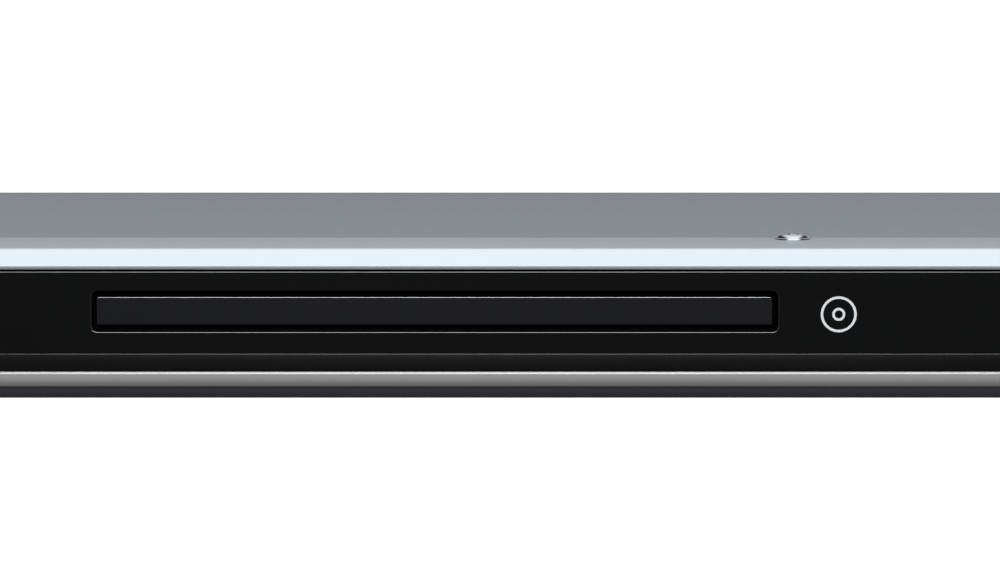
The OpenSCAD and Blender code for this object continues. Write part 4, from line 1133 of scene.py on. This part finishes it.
def band_parts():
    """The lower band with its rounded foot, the wall behind the strip and the two end pieces."""
    top = STRIP_LOW.z
    line = bent_line(BAND_START, BAND_FACE)
    wall_front, wall_back = BAND_WALL
    outline = line + [(BAND_HIGH.y, line[-1][1]), (BAND_HIGH.y, top - 0.1), (wall_back, top),
                      (wall_back, BAND_HIGH.z), (wall_front, BAND_HIGH.z), (wall_front, top)]
    end = rectangle((wall_back - BAND_END_INTO, BAND_HIGH.y), (top - BAND_END_INTO, BAND_HIGH.z))
    parts = [sweep("band", outline, -HALF_WIDTH, HALF_WIDTH)]
    for x_from in (-HALF_WIDTH, HALF_WIDTH - BAND_END_THICK):
        parts.append(sweep("band_end", end, x_from, x_from + BAND_END_THICK))
    return parts


dress(shade(join_pieces("lower_band", band_parts())), "bezel_grey", "case", "lower_bezel")

# %% [markdown]
# ## Printed signs
#
# A print is a very thin raised layer, so each sign is a thin plate that stands out by the thickness of a film.
# The signs are made of triangles, bars and an open ring, drawn in millimetres about the middle of their button.

# %% Printed signs
PRINT_THICK = 0.06
PRINT_SUNK = 0.03
PRINT_RIM = 0.01


def print_mark(name, loop_groups, face_y, body, slot="white_film"):
    """A thin raised print on an upright face, from groups of loops (an outline and its holes)."""
    piece = join_pieces(name, [plate(name, loops, PRINT_THICK, PRINT_RIM, 0) for loops in loop_groups])
    move_mesh(piece, at(0, face_y + PRINT_THICK / 2 - PRINT_SUNK, 0) @ TO_FRONT)
    return dress(piece, slot, body)


def arrow(middle, size):
    """A triangle that points along X."""
    return [(middle[0] + across, middle[1] + up) for across, up in
            ((-size * 0.8, -size), (-size * 0.8, size), (size * 0.9, 0))]


def up_arrow(middle, size):
    return [(middle[0] + across, middle[1] + up) for across, up in
            ((-size, -size * 0.5), (size, -size * 0.5), (0, size * 0.7))]


def bar(middle, width, height):
    return round_loop(middle, width, height, min(width, height) * 0.1, 1)


def ring_segment(middle, inner, outer, start, end, steps=28):
    """A part of a ring as one loop, from one angle to another: along its outer edge, and back inside."""
    turns = [math.radians(start + (end - start) * step / steps) for step in range(steps + 1)]
    polar = [(outer, turn) for turn in turns] + [(inner, turn) for turn in reversed(turns)]
    return [(middle[0] + reach * math.cos(turn), middle[1] + reach * math.sin(turn)) for reach, turn in polar]


def pictogram(node):
    """The loops of a button's sign, in millimetres on the front."""
    x, z = front_view(node)[0]
    return {
        "open_close_button": [up_arrow((x, z + 0.35), 1.3), bar((x, z - 1.0), 2.6, 0.45)],
        "play_button": [arrow((x, z), 1.15)],
        "stop_button": [bar((x, z), 2.1, 2.1)],
        "skip_button": [arrow((x - 1.0, z), 1.0), arrow((x + 0.6, z), 1.0), bar((x + 1.8, z), 0.4, 2.0)],
        "power_button": [ring_segment((x, z), 1.55, 1.95, 125, 415), bar((x, z + 1.4), 0.42, 1.9)],
    }[node]


print(sum(len(pictogram(node)) for node in BAR_BUTTONS + ("power_button",)), "shapes in the signs")

# %% [markdown]
# ## Buttons
#
# The buttons are black caps that stand a little proud, each with a flange behind the panel and a plunger for
# its switch. A sign rides on the same body as its cap, so it goes in when the button is pressed.

# %% Buttons
CAP_BEHIND = 0.5
CAP_RIM = 0.45
FLANGE_THICK = 1
FLANGE_RIM = 0.1
FLANGE_Y = PANEL_BACK + 0.9
PLUNGER_Y = PANEL_BACK + 1.3
PLUNGER_RADIUS = 1.5
PLUNGER_CHAMFER = 0.2


def cap(name, loop, node):
    """A button's cap with a rounded rim, plus its flange and plunger."""
    low, high = box_mm(node)
    middle, width, height = front_view(node)
    depth = PANEL_BACK + CAP_BEHIND - low.y
    top = upright_plate(name, [loop], depth, CAP_RIM, low.y + depth / 2, 3)
    rim = round_loop(middle, width, height, BUTTON_CORNER)
    flange = upright_plate("flange", [rim], FLANGE_THICK, FLANGE_RIM, FLANGE_Y)
    length = high.y - PLUNGER_Y
    plunger = lathe("plunger", [(0, 0), (PLUNGER_RADIUS, 0), (PLUNGER_RADIUS, length - PLUNGER_CHAMFER),
                                (PLUNGER_RADIUS - PLUNGER_CHAMFER, length), (0, length)], 24)
    move_mesh(plunger, at(middle[0], PLUNGER_Y, middle[1]) @ TO_BACK)
    return dress(shade_flat(join_pieces(name, [top, flange, plunger])), "button_black", node, node)


cap_loops = {node: button_loop(node, 0) for node in BAR_BUTTONS}
cap_loops["power_button"] = circle_loop(POWER_MIDDLE, POWER_RADIUS, 64)
for node, loop in cap_loops.items():
    cap(node + "_cap", loop, node)
    print_mark(node + "_print", [[sign] for sign in pictogram(node)], box_mm(node)[0].y, node)

# %% [markdown]
# ## Window, lamp and disc mark
#
# The display stands behind a pane of smoked plastic, which is a little smaller than its hole. The standby lamp
# is a small red dome beside the power button. To the right of the tray a plain pictogram of a disc is printed
# on the panel: a ring with a small ring in it.

# %% Window, lamp and disc mark
WINDOW_GAP = 0.2
WINDOW_RIM = 0.15
LAMP_ROUNDING = 0.1
DISC_MARK = (9.6, 21.4)
DISC_RINGS = (((4.0, 3.45), 64), ((1.45, 0.9), 40))

window_low, window_high = box_mm("display_window")
window_middle, window_width, window_height = front_view("display_window")
window_loop = round_loop(window_middle, window_width - WINDOW_GAP, window_height - WINDOW_GAP, PANEL_CORNER, 3)
window = upright_plate("window_pane", [window_loop], window_high.y - window_low.y, WINDOW_RIM,
                       middle_of("display_window").y)
dress(window, "window_smoke", "case", "display_window")
dress(softened("standby_lamp", LAMP_ROUNDING), "lamp_red", "case", "standby_lamp")
disc_loops = [[circle_loop(DISC_MARK, radius, steps) for radius in radii] for radii, steps in DISC_RINGS]
print_mark("disc_mark", disc_loops, FACE_Y, "case")

# %% [markdown]
# ## Geometry Nodes trees that place copies
#
# What looks the same wherever it is used is made once, and a Geometry Nodes tree puts copies of it in place.
# All such trees begin with the same named inputs and end in the same nodes: the copies are made real and get
# their material. Running a tree gives a plain mesh, so no live modifier is left.

# %% Geometry Nodes trees that place copies
COPY_INPUTS = {"Geometry": "NodeSocketGeometry", "Part": "NodeSocketObject", "Material": "NodeSocketMaterial",
               "Seed": "NodeSocketInt"}


def new_tree(name, *numbers):
    """A Geometry Nodes tree with the inputs that all copying needs, and some more numbers by name."""
    tree = bpy.data.node_groups.new(name, "GeometryNodeTree")
    for title, kind in {**COPY_INPUTS, **dict.fromkeys(numbers, "NodeSocketFloat")}.items():
        tree.interface.new_socket(title, in_out="INPUT", socket_type=kind)
    tree.interface.new_socket("Geometry", in_out="OUTPUT", socket_type="NodeSocketGeometry")
    return tree, tree.nodes.new("NodeGroupInput").outputs


def end_tree(tree, given, points, rotation):
    """The end of each tree: the part is put on the points and turned, the copies are made real and painted."""
    link = tree.links.new
    part = tree.nodes.new("GeometryNodeObjectInfo")
    place = tree.nodes.new("GeometryNodeInstanceOnPoints")
    realize = tree.nodes.new("GeometryNodeRealizeInstances")
    paint = tree.nodes.new("GeometryNodeSetMaterial")
    link(given["Part"], part.inputs["Object"])
    link(points, place.inputs["Points"])
    link(part.outputs["Geometry"], place.inputs["Instance"])
    link(rotation, place.inputs["Rotation"])
    link(place.outputs[0], realize.inputs[0])
    link(realize.outputs[0], paint.inputs["Geometry"])
    link(given["Material"], paint.inputs["Material"])
    link(paint.outputs[0], tree.nodes.new("NodeGroupOutput").inputs[0])
    return tree


def run_tree(obj, tree, part, finish, values):
    """Runs a tree on an object and makes the result a plain mesh. The part is used up."""
    sockets = {item.name: item.identifier for item in tree.interface.items_tree if item.in_out == "INPUT"}
    modifier = obj.modifiers.new("copies", "NODES")
    modifier.node_group = tree
    for title, value in {"Part": part, "Material": FINISHES[finish], **values}.items():
        modifier[sockets[title]] = value
    make_plain(obj)
    bpy.data.objects.remove(part)
    return shade(obj)


print("each tree has", len(COPY_INPUTS), "inputs and those of its own")

# %% [markdown]
# ## Copies on points
#
# Screws, feet, sockets and chip legs stand on marked points. Each point has a direction, kept as an attribute,
# and its copy is turned to face that way. A copy can also get a random turn about its own axis, because nobody
# lines up the crosses of screws.

# %% Copies on points
def copies_tree():
    """Copies of a part on points, each turned to face its point's way and about its own axis."""
    tree, given = new_tree("copies_on_points", "Largest turn")
    link = tree.links.new
    facing = tree.nodes.new("GeometryNodeInputNamedAttribute")
    facing.data_type = "FLOAT_VECTOR"
    facing.inputs["Name"].default_value = "facing"
    align = tree.nodes.new("FunctionNodeAlignRotationToVector")
    align.axis = "Z"
    random = tree.nodes.new("FunctionNodeRandomValue")
    own_turn = tree.nodes.new("FunctionNodeAxisAngleToRotation")
    own_turn.inputs["Axis"].default_value = (0, 0, 1)
    rotate = tree.nodes.new("FunctionNodeRotateRotation")
    rotate.rotation_space = "LOCAL"
    link(facing.outputs[0], align.inputs["Vector"])
    link(given["Largest turn"], random.inputs[3])
    link(given["Seed"], random.inputs["Seed"])
    link(random.outputs[1], own_turn.inputs["Angle"])
    link(align.outputs[0], rotate.inputs["Rotation"])
    link(own_turn.outputs[0], rotate.inputs["Rotate By"])
    return end_tree(tree, given, given["Geometry"], rotate.outputs[0])


COPIES = copies_tree()


def copies(name, part, places, slot, body, *nodes, turn=0.0, seed=1, finish=None):
    """Copies of a part on places, each a (point, direction) pair in millimetres, as one plain mesh."""
    mesh = bpy.data.meshes.new(name + "_points")
    mesh.from_pydata([Vector(point) * MM for point, _ in places], [], [])
    facing = mesh.attributes.new("facing", "FLOAT_VECTOR", "POINT")
    for item, (_, direction) in zip(facing.data, places):
        item.vector = direction
    obj = run_tree(new_object(name, mesh), COPIES, part, finish or slot, {"Largest turn": turn, "Seed": seed})
    obj.data.attributes.remove(obj.data.attributes["facing"])
    return dress(obj, slot, body, *nodes, finish=finish)


print("copies tree with", len(COPIES.nodes), "nodes")

# %% [markdown]
# ## One screw
#
# A cover screw has a low pan head with a cross recess. The head is a turned profile, a quarter of an ellipse.
# The recess is cut with a cross whose arms get shorter and thinner towards the bottom, as the tip of a
# screwdriver does.

# %% One screw
SHANK_RADIUS = 1.25
SHANK_TIP = 0.6
CROWN_STEPS = 10
CROWN_BASE = 0.1
RECESS_DEPTH = 0.62
RECESS_TOP = (0.66, 0.17)
RECESS_BOTTOM = (0.34, 0.10)
CUT_ABOVE = 0.3
SCREW_ROUNDING = 0.06


def cross_cutter(radius, top, bottom):
    """A cross that tapers downwards."""
    points = []
    for height, (reach, half) in ((top, RECESS_TOP), (bottom, RECESS_BOTTOM)):
        reach, half = reach * radius, half * radius
        for quarter in range(4):
            turn = Matrix.Rotation(math.radians(90 * quarter), 2)
            for across, along in ((reach, -half), (reach, half), (half, half)):
                x, y = turn @ Vector((across, along))
                points.append((x, y, height))
    sides = [(i, (i + 1) % 12, 12 + (i + 1) % 12, 12 + i) for i in range(12)]
    cutter = mesh_piece("cross_cutter", points, sides + [tuple(range(12)), tuple(range(23, 11, -1))])
    edit_mesh(cutter.data, face_outwards)
    return cutter


def screw(radius, height, reach):
    """A screw that stands on z = 0 with its shank downwards."""
    turns = [math.radians(90 * step / CROWN_STEPS) for step in range(CROWN_STEPS)]
    crown = [(radius * math.cos(turn), CROWN_BASE + (height - CROWN_BASE) * math.sin(turn)) for turn in turns]
    shank = [(0, -reach), (SHANK_RADIUS * SHANK_TIP, -reach), (SHANK_RADIUS, -reach + SHANK_TIP),
             (SHANK_RADIUS, 0)]
    head = lathe("screw", shank + [(radius - CROWN_BASE, 0)] + crown + [(0, height)])
    cutter = cross_cutter(radius, height + CUT_ABOVE, height - RECESS_DEPTH * height)
    cut = head.modifiers.new("recess", "BOOLEAN")
    cut.operation = "DIFFERENCE"
    cut.solver = "EXACT"
    cut.object = cutter
    make_plain(head)
    bpy.data.objects.remove(cutter)
    return round_edges(head, SCREW_ROUNDING, 2, 40)


def screws(node, radius, height, reach, places, seed, finish="screw_steel"):
    """One kind of screw on its places, each turned by chance."""
    copies(node + "_heads", screw(radius, height, reach), places, "screw_steel", "case", node, turn=FULL_TURN,
           seed=seed, finish=finish)


print("a recess is", RECESS_DEPTH, "of its head's height deep")

# %% [markdown]
# ## Front screw
#
# The front screw holds the cover at its crease. It sits in a shallow round seat, with a thin bright washer
# round its head. The washer is a closed profile turned about the same axis, so it fits round the head.

# %% Front screw
UP, DOWN, BACK = (0, 0, 1), (0, 0, -1), (0, 1, 0)
CASE_HEIGHT = 34.8
SEAT_DEPTH = 0.4
SEAT = (0, BOSS_Y, CASE_BOTTOM + CASE_HEIGHT - SEAT_DEPTH)
WASHER = [(3.52, 0), (4.15, 0), (4.15, 0.3), (4.0, 0.36), (3.52, 0.36)]
washer = lathe("washer", WASHER, 64, closed=True)
screws("cover_front_screw", 3.5, 1.3, 6, [(SEAT, UP)], 3, "screw_bright")
copies("front_screw_washer", washer, [(SEAT, UP)], "screw_steel", "case", finish="screw_bright")

# %% [markdown]
# ## The other screws
#
# Other screws hold the cover at its sides and back, the feet, the boards and the loader. Each group has its own
# size and its own seed, so that no two groups turn alike, and each place has the direction in which the head
# looks.

# %% The other screws
REAR_LOW, REAR_HIGH = box_mm("rear_panel")
REAR_Y = REAR_HIGH.y
REAR_SCREWS = [(x, CASE_BOTTOM + 31) for x in (-150, 0, 150)]
FEET = [(side * 175, y) for side in (-1, 1) for y in (-72, 64)]
DECK_TOP = CASE_BOTTOM + 4
BOARD_TOP = box_mm("power_board")[1].z
BOARD_SCREWS = [(x, y) for x in (12, 120) for y in (4, 80)] + [(x, y) for x in (140, 201) for y in (-24, 80)]
side_places = [((side * HALF_WIDTH, y, CASE_BOTTOM + 8), (side, 0, 0)) for side in (-1, 1) for y in (-60, 60)]
rear_places = [((x, REAR_Y + 1, z), BACK) for x, z in REAR_SCREWS]
foot_places = [((x, y, CASE_BOTTOM / 2), DOWN) for x, y in FEET]
board_places = [((x, y, BOARD_TOP), UP) for x, y in BOARD_SCREWS]
loader_places = [((x, y, DECK_TOP), UP) for x in (-145, -14) for y in (-92, 55)]
screw_groups = {"cover_side_screws": (3.0, 1.6, 4, side_places, 5),
                "cover_rear_screws": (3.0, 1.6, 4, rear_places, 7),
                "foot_screws": (2.6, 1.0, 3.5, foot_places, 11),
                "board_screws": (2.6, 1.4, 5.6, board_places, 13),
                "loader_screws": (2.8, 1.6, 3.8, loader_places, 17)}
for node, values in screw_groups.items():
    screws(node, *values)

# %% [markdown]
# ## Feet and base
#
# Each foot is a ring of rubber with a round lower edge and a recess for its screw, so its profile is turned
# about its axis once and copied to four places. The base is folded sheet, and keeps the shape of its solid with
# softened edges.

# %% Feet and base
FOOT = [(1.7, 1.5), (4.5, 1.5), (4.5, 0.3), (4.8, 0), (9.0, 0), (9.6, 0.25), (10, 0.9), (10, 2.6), (9.8, 3),
        (1.7, 3)]
BASE_ROUNDING = 0.15
foot = lathe("foot", FOOT, 64, closed=True)
copies("rubber_feet", foot, [((x, y, 0), UP) for x, y in FEET], "foot_rubber", "case", "feet")
dress(softened("chassis_base", BASE_ROUNDING), "case_steel", "case", "chassis_base")

# %% [markdown]
# ## Rear panel
#
# The back is a steel plate with round and rectangular holes for the sockets and a row of long slots that let
# warm air out, so it is made as a plate is, from its outline and its holes. Thin printed frames group the
# sockets, as on most players, but carry no words.

# %% Rear panel
JACK_PITCH = 14
JACK_Z = CASE_BOTTOM + 14.5
AUDIO_XS, VIDEO_XS = ([middle_of(node).x + JACK_PITCH * step for step in (-1, 0, 1)]
                      for node in ("audio_jacks", "video_jacks"))
DIGITAL_X = middle_of("digital_jack").x
S_VIDEO_X = middle_of("s_video_socket").x
INLET_MIDDLE = front_view("mains_inlet")[0]
JACK_HOLE = 4.6
S_VIDEO_HOLE = 6.2
INLET_HOLE = (21.4, 12.4, 0.5)
SCREW_HOLE = 1.3
VENTS = [(-60 - 6 * step, CASE_BOTTOM + 18) for step in range(10)]
VENT_SIZE = (3, 12)
REAR_CORNER = 0.6
REAR_RIM = 0.12
FRAME_MARGIN = 13
FRAME_HEIGHT = 15
FRAME_CORNER = 2
FRAME_LINE = 0.4


def rear_plate():
    outline = box_loop(REAR_LOW, REAR_HIGH, REAR_CORNER, 3)
    holes = [circle_loop((x, JACK_Z), JACK_HOLE) for x in AUDIO_XS + VIDEO_XS + [DIGITAL_X]]
    holes += [circle_loop((S_VIDEO_X, JACK_Z), S_VIDEO_HOLE), round_loop(INLET_MIDDLE, *INLET_HOLE, 3)]
    holes += [round_loop(vent, *VENT_SIZE, REAR_CORNER, 3) for vent in VENTS]
    holes += [circle_loop(place, SCREW_HOLE, 20) for place in REAR_SCREWS]
    return upright_plate("rear_plate", [outline] + holes, REAR_HIGH.y - REAR_LOW.y, REAR_RIM,
                         (REAR_LOW.y + REAR_HIGH.y) / 2)


def printed_frame(x_from, x_to):
    """The outline of a group of sockets as a thin line, from its outer and its inner edge."""
    middle, width = ((x_from + x_to) / 2, JACK_Z), x_to - x_from + FRAME_MARGIN
    return [round_loop(middle, width - 2 * inset, FRAME_HEIGHT - 2 * inset, FRAME_CORNER - inset)
            for inset in (0, FRAME_LINE)]


dress(rear_plate(), "case_steel", "case", "rear_panel")
frame_ranges = [(AUDIO_XS[0], AUDIO_XS[-1]), (DIGITAL_X, DIGITAL_X), (VIDEO_XS[0], VIDEO_XS[-1]),
                (S_VIDEO_X + 1, S_VIDEO_X + 2)]
print_mark("socket_frames", [printed_frame(*ends) for ends in frame_ranges], REAR_Y + PRINT_THICK / 2, "case",
           "button_black")

# %% [markdown]
# ## Sockets
#
# A phono socket is a nickel sleeve round a coloured insulator with a hole in its middle, moulded on a black
# block that stands on the board behind the panel. The colours say what each is for: yellow is picture, white
# and red are sound, orange is digital sound, and green, blue and red are the three parts of a picture.

# %% Sockets
INSULATORS = {"yellow": (0.75, 0.48, 0.02), "white": (0.75, 0.75, 0.73), "red": (0.55, 0.02, 0.015),
              "orange": (0.75, 0.19, 0.01), "green": (0.02, 0.28, 0.06), "blue": (0.02, 0.08, 0.42)}
SOCKET_GROUPS = {"audio_jacks": (AUDIO_XS, ("yellow", "white", "red")),
                 "digital_jack": ([DIGITAL_X], ("orange",)),
                 "video_jacks": (VIDEO_XS, ("green", "blue", "red"))}
SLEEVE = [(3.5, 0.4), (4.15, 0.4), (4.15, 8.5), (4.08, 8.8), (3.9, 9), (3.7, 9), (3.55, 8.9), (3.5, 8.7)]
INSULATOR = [(1.6, -6), (3.48, -6), (3.48, 7.4), (3.3, 7.6), (1.8, 7.6), (1.6, 7.4)]
COLLAR = [(3.49, -2), (4.55, -2), (4.55, 0.25), (4.4, 0.4), (3.49, 0.4)]
CONTACT = [(1.35, -5.5), (1.58, -5.5), (1.58, 6.8), (1.35, 6.8)]
SHIELD = [(4.45, -1.4), (4.78, -1.4), (4.78, -0.1), (4.45, -0.1)]
HOUSING_WIDTH = 13.6
HOUSING_GAP = 0.2
HOUSING_CORNER = 0.5
HOUSING_ROUNDING = 0.3
SOCKET_ROUNDING = 0.15
make_finishes(**{"insulator_" + name: (colour, (0.3, 0.42), dict(drift=0.06, worn=scaled(colour, 1.25)[:3]))
                 for name, colour in INSULATORS.items()})


def housings(node, xs):
    """The blocks behind the panel."""
    low, high = box_mm(node)
    depth = REAR_LOW.y - HOUSING_GAP - low.y
    outline = round_loop((0, 0), HOUSING_WIDTH, high.z - low.z, HOUSING_CORNER, 3)
    block = plate("housing", [outline], depth, HOUSING_ROUNDING)
    places = [((x, low.y + depth / 2, (low.z + high.z) / 2), BACK) for x in xs]
    return copies(node + "_housings", block, places, "socket_black", "case")


for node, (xs, colours) in SOCKET_GROUPS.items():
    places = [((x, REAR_Y, JACK_Z), BACK) for x in xs]
    copies(node + "_sleeves", lathe("sleeve", SLEEVE, closed=True), places, "jack_nickel", "case", node)
    copies(node + "_contacts", lathe("contact", CONTACT, 24, closed=True), places, "jack_nickel", "case")
    housings(node, xs)
    for x, colour in zip(xs, colours):
        parts = [lathe("insulator", INSULATOR, 40, closed=True), lathe("collar", COLLAR, 40, closed=True)]
        piece = move_mesh(join_pieces(node + "_" + colour, parts), at(x, REAR_Y, JACK_Z) @ TO_BACK)
        dress(shade(piece), "socket_black", "case", finish="insulator_" + colour)

dress(softened("s_video_socket", SOCKET_ROUNDING), "socket_black", "case", "s_video_socket")
ring_places = [((S_VIDEO_X, REAR_Y + 1.5, JACK_Z), BACK)]
copies("s_video_ring", lathe("s_video_shield", SHIELD, closed=True), ring_places, "jack_nickel", "case")

# %% [markdown]
# ## Mains inlet
#
# The mains inlet is a black moulding with a flange, an oval cavity and two round pins that stand well inside
# it, where no finger reaches them. A cavity can't be a hole in one plate, because it has a bottom: so a flange,
# a wall and a back are three plates that overlap a little, and the pins are turned parts.

# %% Mains inlet
INLET_LOW, INLET_HIGH = box_mm("mains_inlet")
INLET_FLANGE = 2
INLET_BODY = (21, 12)
INLET_CORNER = 0.6
INLET_BACK = 2
CAVITY = (17.4, 8.8)
PIN_PITCH = 8.6
PIN_RADIUS = 1.2
PIN_ROOT = 1
PIN_SHORT = 2


def mains_inlet():
    """A flange, walls round the cavity and a back, which overlap a little."""
    _, width, height = front_view("mains_inlet")
    cavity = round_loop(INLET_MIDDLE, *CAVITY, CAVITY[1] / 2, 12)
    body = round_loop(INLET_MIDDLE, *INLET_BODY, INLET_CORNER, 3)
    depth = INLET_HIGH.y - INLET_FLANGE - INLET_LOW.y - INLET_BACK + 0.3
    back_thick = INLET_BACK + 0.1
    rim = round_loop(INLET_MIDDLE, width, height, 3)
    flange_y = INLET_HIGH.y - INLET_FLANGE / 2
    parts = [upright_plate("inlet_flange", [rim, cavity], INLET_FLANGE, 0.4, flange_y, 3),
             upright_plate("inlet_walls", [body, cavity], depth, 0.05, INLET_LOW.y + INLET_BACK + depth / 2),
             upright_plate("inlet_back", [body], back_thick, 0.2, INLET_LOW.y + back_thick / 2)]
    return shade(join_pieces("inlet_moulding", parts))


def inlet_pin():
    """A pin with a rounded tip."""
    length = INLET_HIGH.y - PIN_SHORT - INLET_LOW.y - PIN_ROOT
    tip = [(PIN_RADIUS, length - 0.9), (PIN_RADIUS - 0.2, length - 0.3), (PIN_RADIUS / 2, length), (0, length)]
    return lathe("pin", [(0, 0), (PIN_RADIUS, 0)] + tip, 32)


dress(mains_inlet(), "inlet_black", "case", "mains_inlet")
pin_xs = [INLET_MIDDLE[0] + side * PIN_PITCH / 2 for side in (-1, 1)]
copies("inlet_pins", inlet_pin(), [((x, INLET_LOW.y + PIN_ROOT, INLET_MIDDLE[1]), BACK) for x in pin_xs],
       "jack_nickel", "case")

# %% [markdown]
# ## Tray and mechanism
#
# The tray, the loader and the disc drive keep the shapes of their solids, with rounded edges. The width of the
# rounding fits the size of each part: a moulded frame has larger ones than a small gear.

# %% Tray and mechanism
dress_softened(tray=0.3, loader_frame=0.3, clamp_bridge=0.2, clamper=0.3, cam_slider=0.2, traverse_frame=0.2,
               turntable=0.15, pickup_sled=0.25, objective_lens=0.05, guide_rods=0.2, loading_motor=0.6,
               spindle_motor=0.5, sled_motor=0.4, motor_pulley=0.1, pulley_gear=0.08, drive_gear=0.08,
               sled_gear=0.06, sled_pinion=0.05, loading_belt=0.2, loader_grommets=0.3)

# %% [markdown]
# ## Boards and their large parts
#
# The boards, the chip, the transformer and the other large parts keep the shapes of their solids. A board is
# thin, so its edges are rounded by a tenth of a millimetre only, and a wound or rolled part is rounder.

# %% Boards and their large parts
dress_softened(main_board=0.1, power_board=0.1, control_board=0.1, power_switch_board=0.1, display_module=0.2,
               infrared_receiver=0.1, tact_switches=0.15, decoder_chip=0.1, transformer=0.6, bulk_capacitor=0.8,
               heatsink=0.12, board_standoffs=0.15)

# %% [markdown]
# ## Chip legs and capacitors
#
# Rows of legs go round the decoder chip: each is a thin strip that comes out of the body, bends down and lies
# flat on the board. Upright capacitors stand in the free corner of the board, and are turned parts with a
# groove near their foot. Both are copies on points.

# %% Chip legs and capacitors
CHIP_MIDDLE = Vector((62, 42, BOARD_TOP))
CHIP_HALF = 12
LEG_INTO_CHIP = 0.05
LEG_PITCH = 1.0
LEG_COUNT = 21
LEG = [(0, 1.0), (0.5, 1.0), (0.8, 0.15), (1.6, 0.15), (1.6, 0), (0.7, 0), (0.4, 0.8), (0, 0.8)]
LEG_HALF = 0.2
CAN = [(0, 0), (2.5, 0), (2.5, 0.8), (2.3, 1.1), (2.5, 1.4), (2.5, 8.6), (2.2, 9), (0, 8.9)]
CANS = [((x, y, BOARD_TOP), UP) for x in (96, 104, 112) for y in (14, 26, 38, 52)]


def leg():
    """A chip's leg: out from the body, down and out again on the board."""
    return move_mesh(sweep("leg", LEG, -LEG_HALF, LEG_HALF), TO_BACK)


def leg_places():
    places = []
    for quarter in range(4):
        turn = Matrix.Rotation(math.radians(90 * quarter), 3, "Z")
        for step in range(-(LEG_COUNT // 2), LEG_COUNT // 2 + 1):
            point = CHIP_MIDDLE + turn @ Vector((step * LEG_PITCH, CHIP_HALF - LEG_INTO_CHIP, 0))
            places.append((point, turn @ Vector(BACK)))
    return places


copies("chip_legs", leg(), leg_places(), "switch_metal", "case")
copies("upright_cans", lathe("can", CAN, 32), CANS, "capacitor_sleeve", "case")

# %% [markdown]
# ## Small parts on the boards
#
# Small flat parts fill the rest of the boards. A second tree scatters them over rectangles, never closer than a
# distance and always in quarter turns, as a placing machine sets them. Its seed is fixed, so they stay where
# they are.

# %% Small parts on the boards
SMALL_PART = ((-0.8, 0.8), (0, 0.9))
SMALL_PART_HALF = 1.6
SMALL_PART_ROUNDING = 0.1
DENSITY = 60000.0
PATCHES = {"small_parts_left": ((10, 26, 12, 74), "chip_black", 5, 3),
           "small_parts_rear": ((46, 90, 60, 84), "board_brown", 5, 8),
           "small_parts_power": ((140, 196, 60, 74), "winding_yellow", 6, 5)}


def scatter_tree():
    """Copies of a part scattered over a face, in quarter turns, never closer than a distance."""
    tree, given = new_tree("scatter_on_face", "Distance", "Density")
    link = tree.links.new
    spread = tree.nodes.new("GeometryNodeDistributePointsOnFaces")
    spread.distribute_method = "POISSON"
    quarter = tree.nodes.new("FunctionNodeRandomValue")
    quarter.data_type = "INT"
    quarter.inputs[4].default_value = 0
    quarter.inputs[5].default_value = 3
    turn = tree.nodes.new("FunctionNodeAxisAngleToRotation")
    turn.inputs["Axis"].default_value = (0, 0, 1)
    link(given["Geometry"], spread.inputs["Mesh"])
    link(given["Distance"], spread.inputs["Distance Min"])
    link(given["Density"], spread.inputs["Density Max"])
    link(given["Seed"], spread.inputs["Seed"])
    link(given["Seed"], quarter.inputs["Seed"])
    link(math_node(tree, "MULTIPLY", quarter.outputs[2], FULL_TURN / 4), turn.inputs["Angle"])
    return end_tree(tree, given, spread.outputs["Points"], turn.outputs[0])


SCATTER = scatter_tree()


def scatter(name, area, slot, distance, seed):
    """Scatters small flat parts over a level rectangle (x from, x to, y from, y to) of a board."""
    x_from, x_to, y_from, y_to = area
    corners = [(x, y, BOARD_TOP) for x, y in ((x_from, y_from), (x_to, y_from), (x_to, y_to), (x_from, y_to))]
    obj = mesh_piece(name, corners, [(0, 1, 2, 3)])
    part = sweep("small_part", rectangle(*SMALL_PART), -SMALL_PART_HALF, SMALL_PART_HALF)
    part = round_edges(part, SMALL_PART_ROUNDING)
    run_tree(obj, SCATTER, part, slot, {"Distance": distance * MM, "Density": DENSITY, "Seed": seed})
    return dress(obj, slot, "case")


for name, (area, slot, distance, seed) in PATCHES.items():
    scatter(name, area, slot, distance, seed)
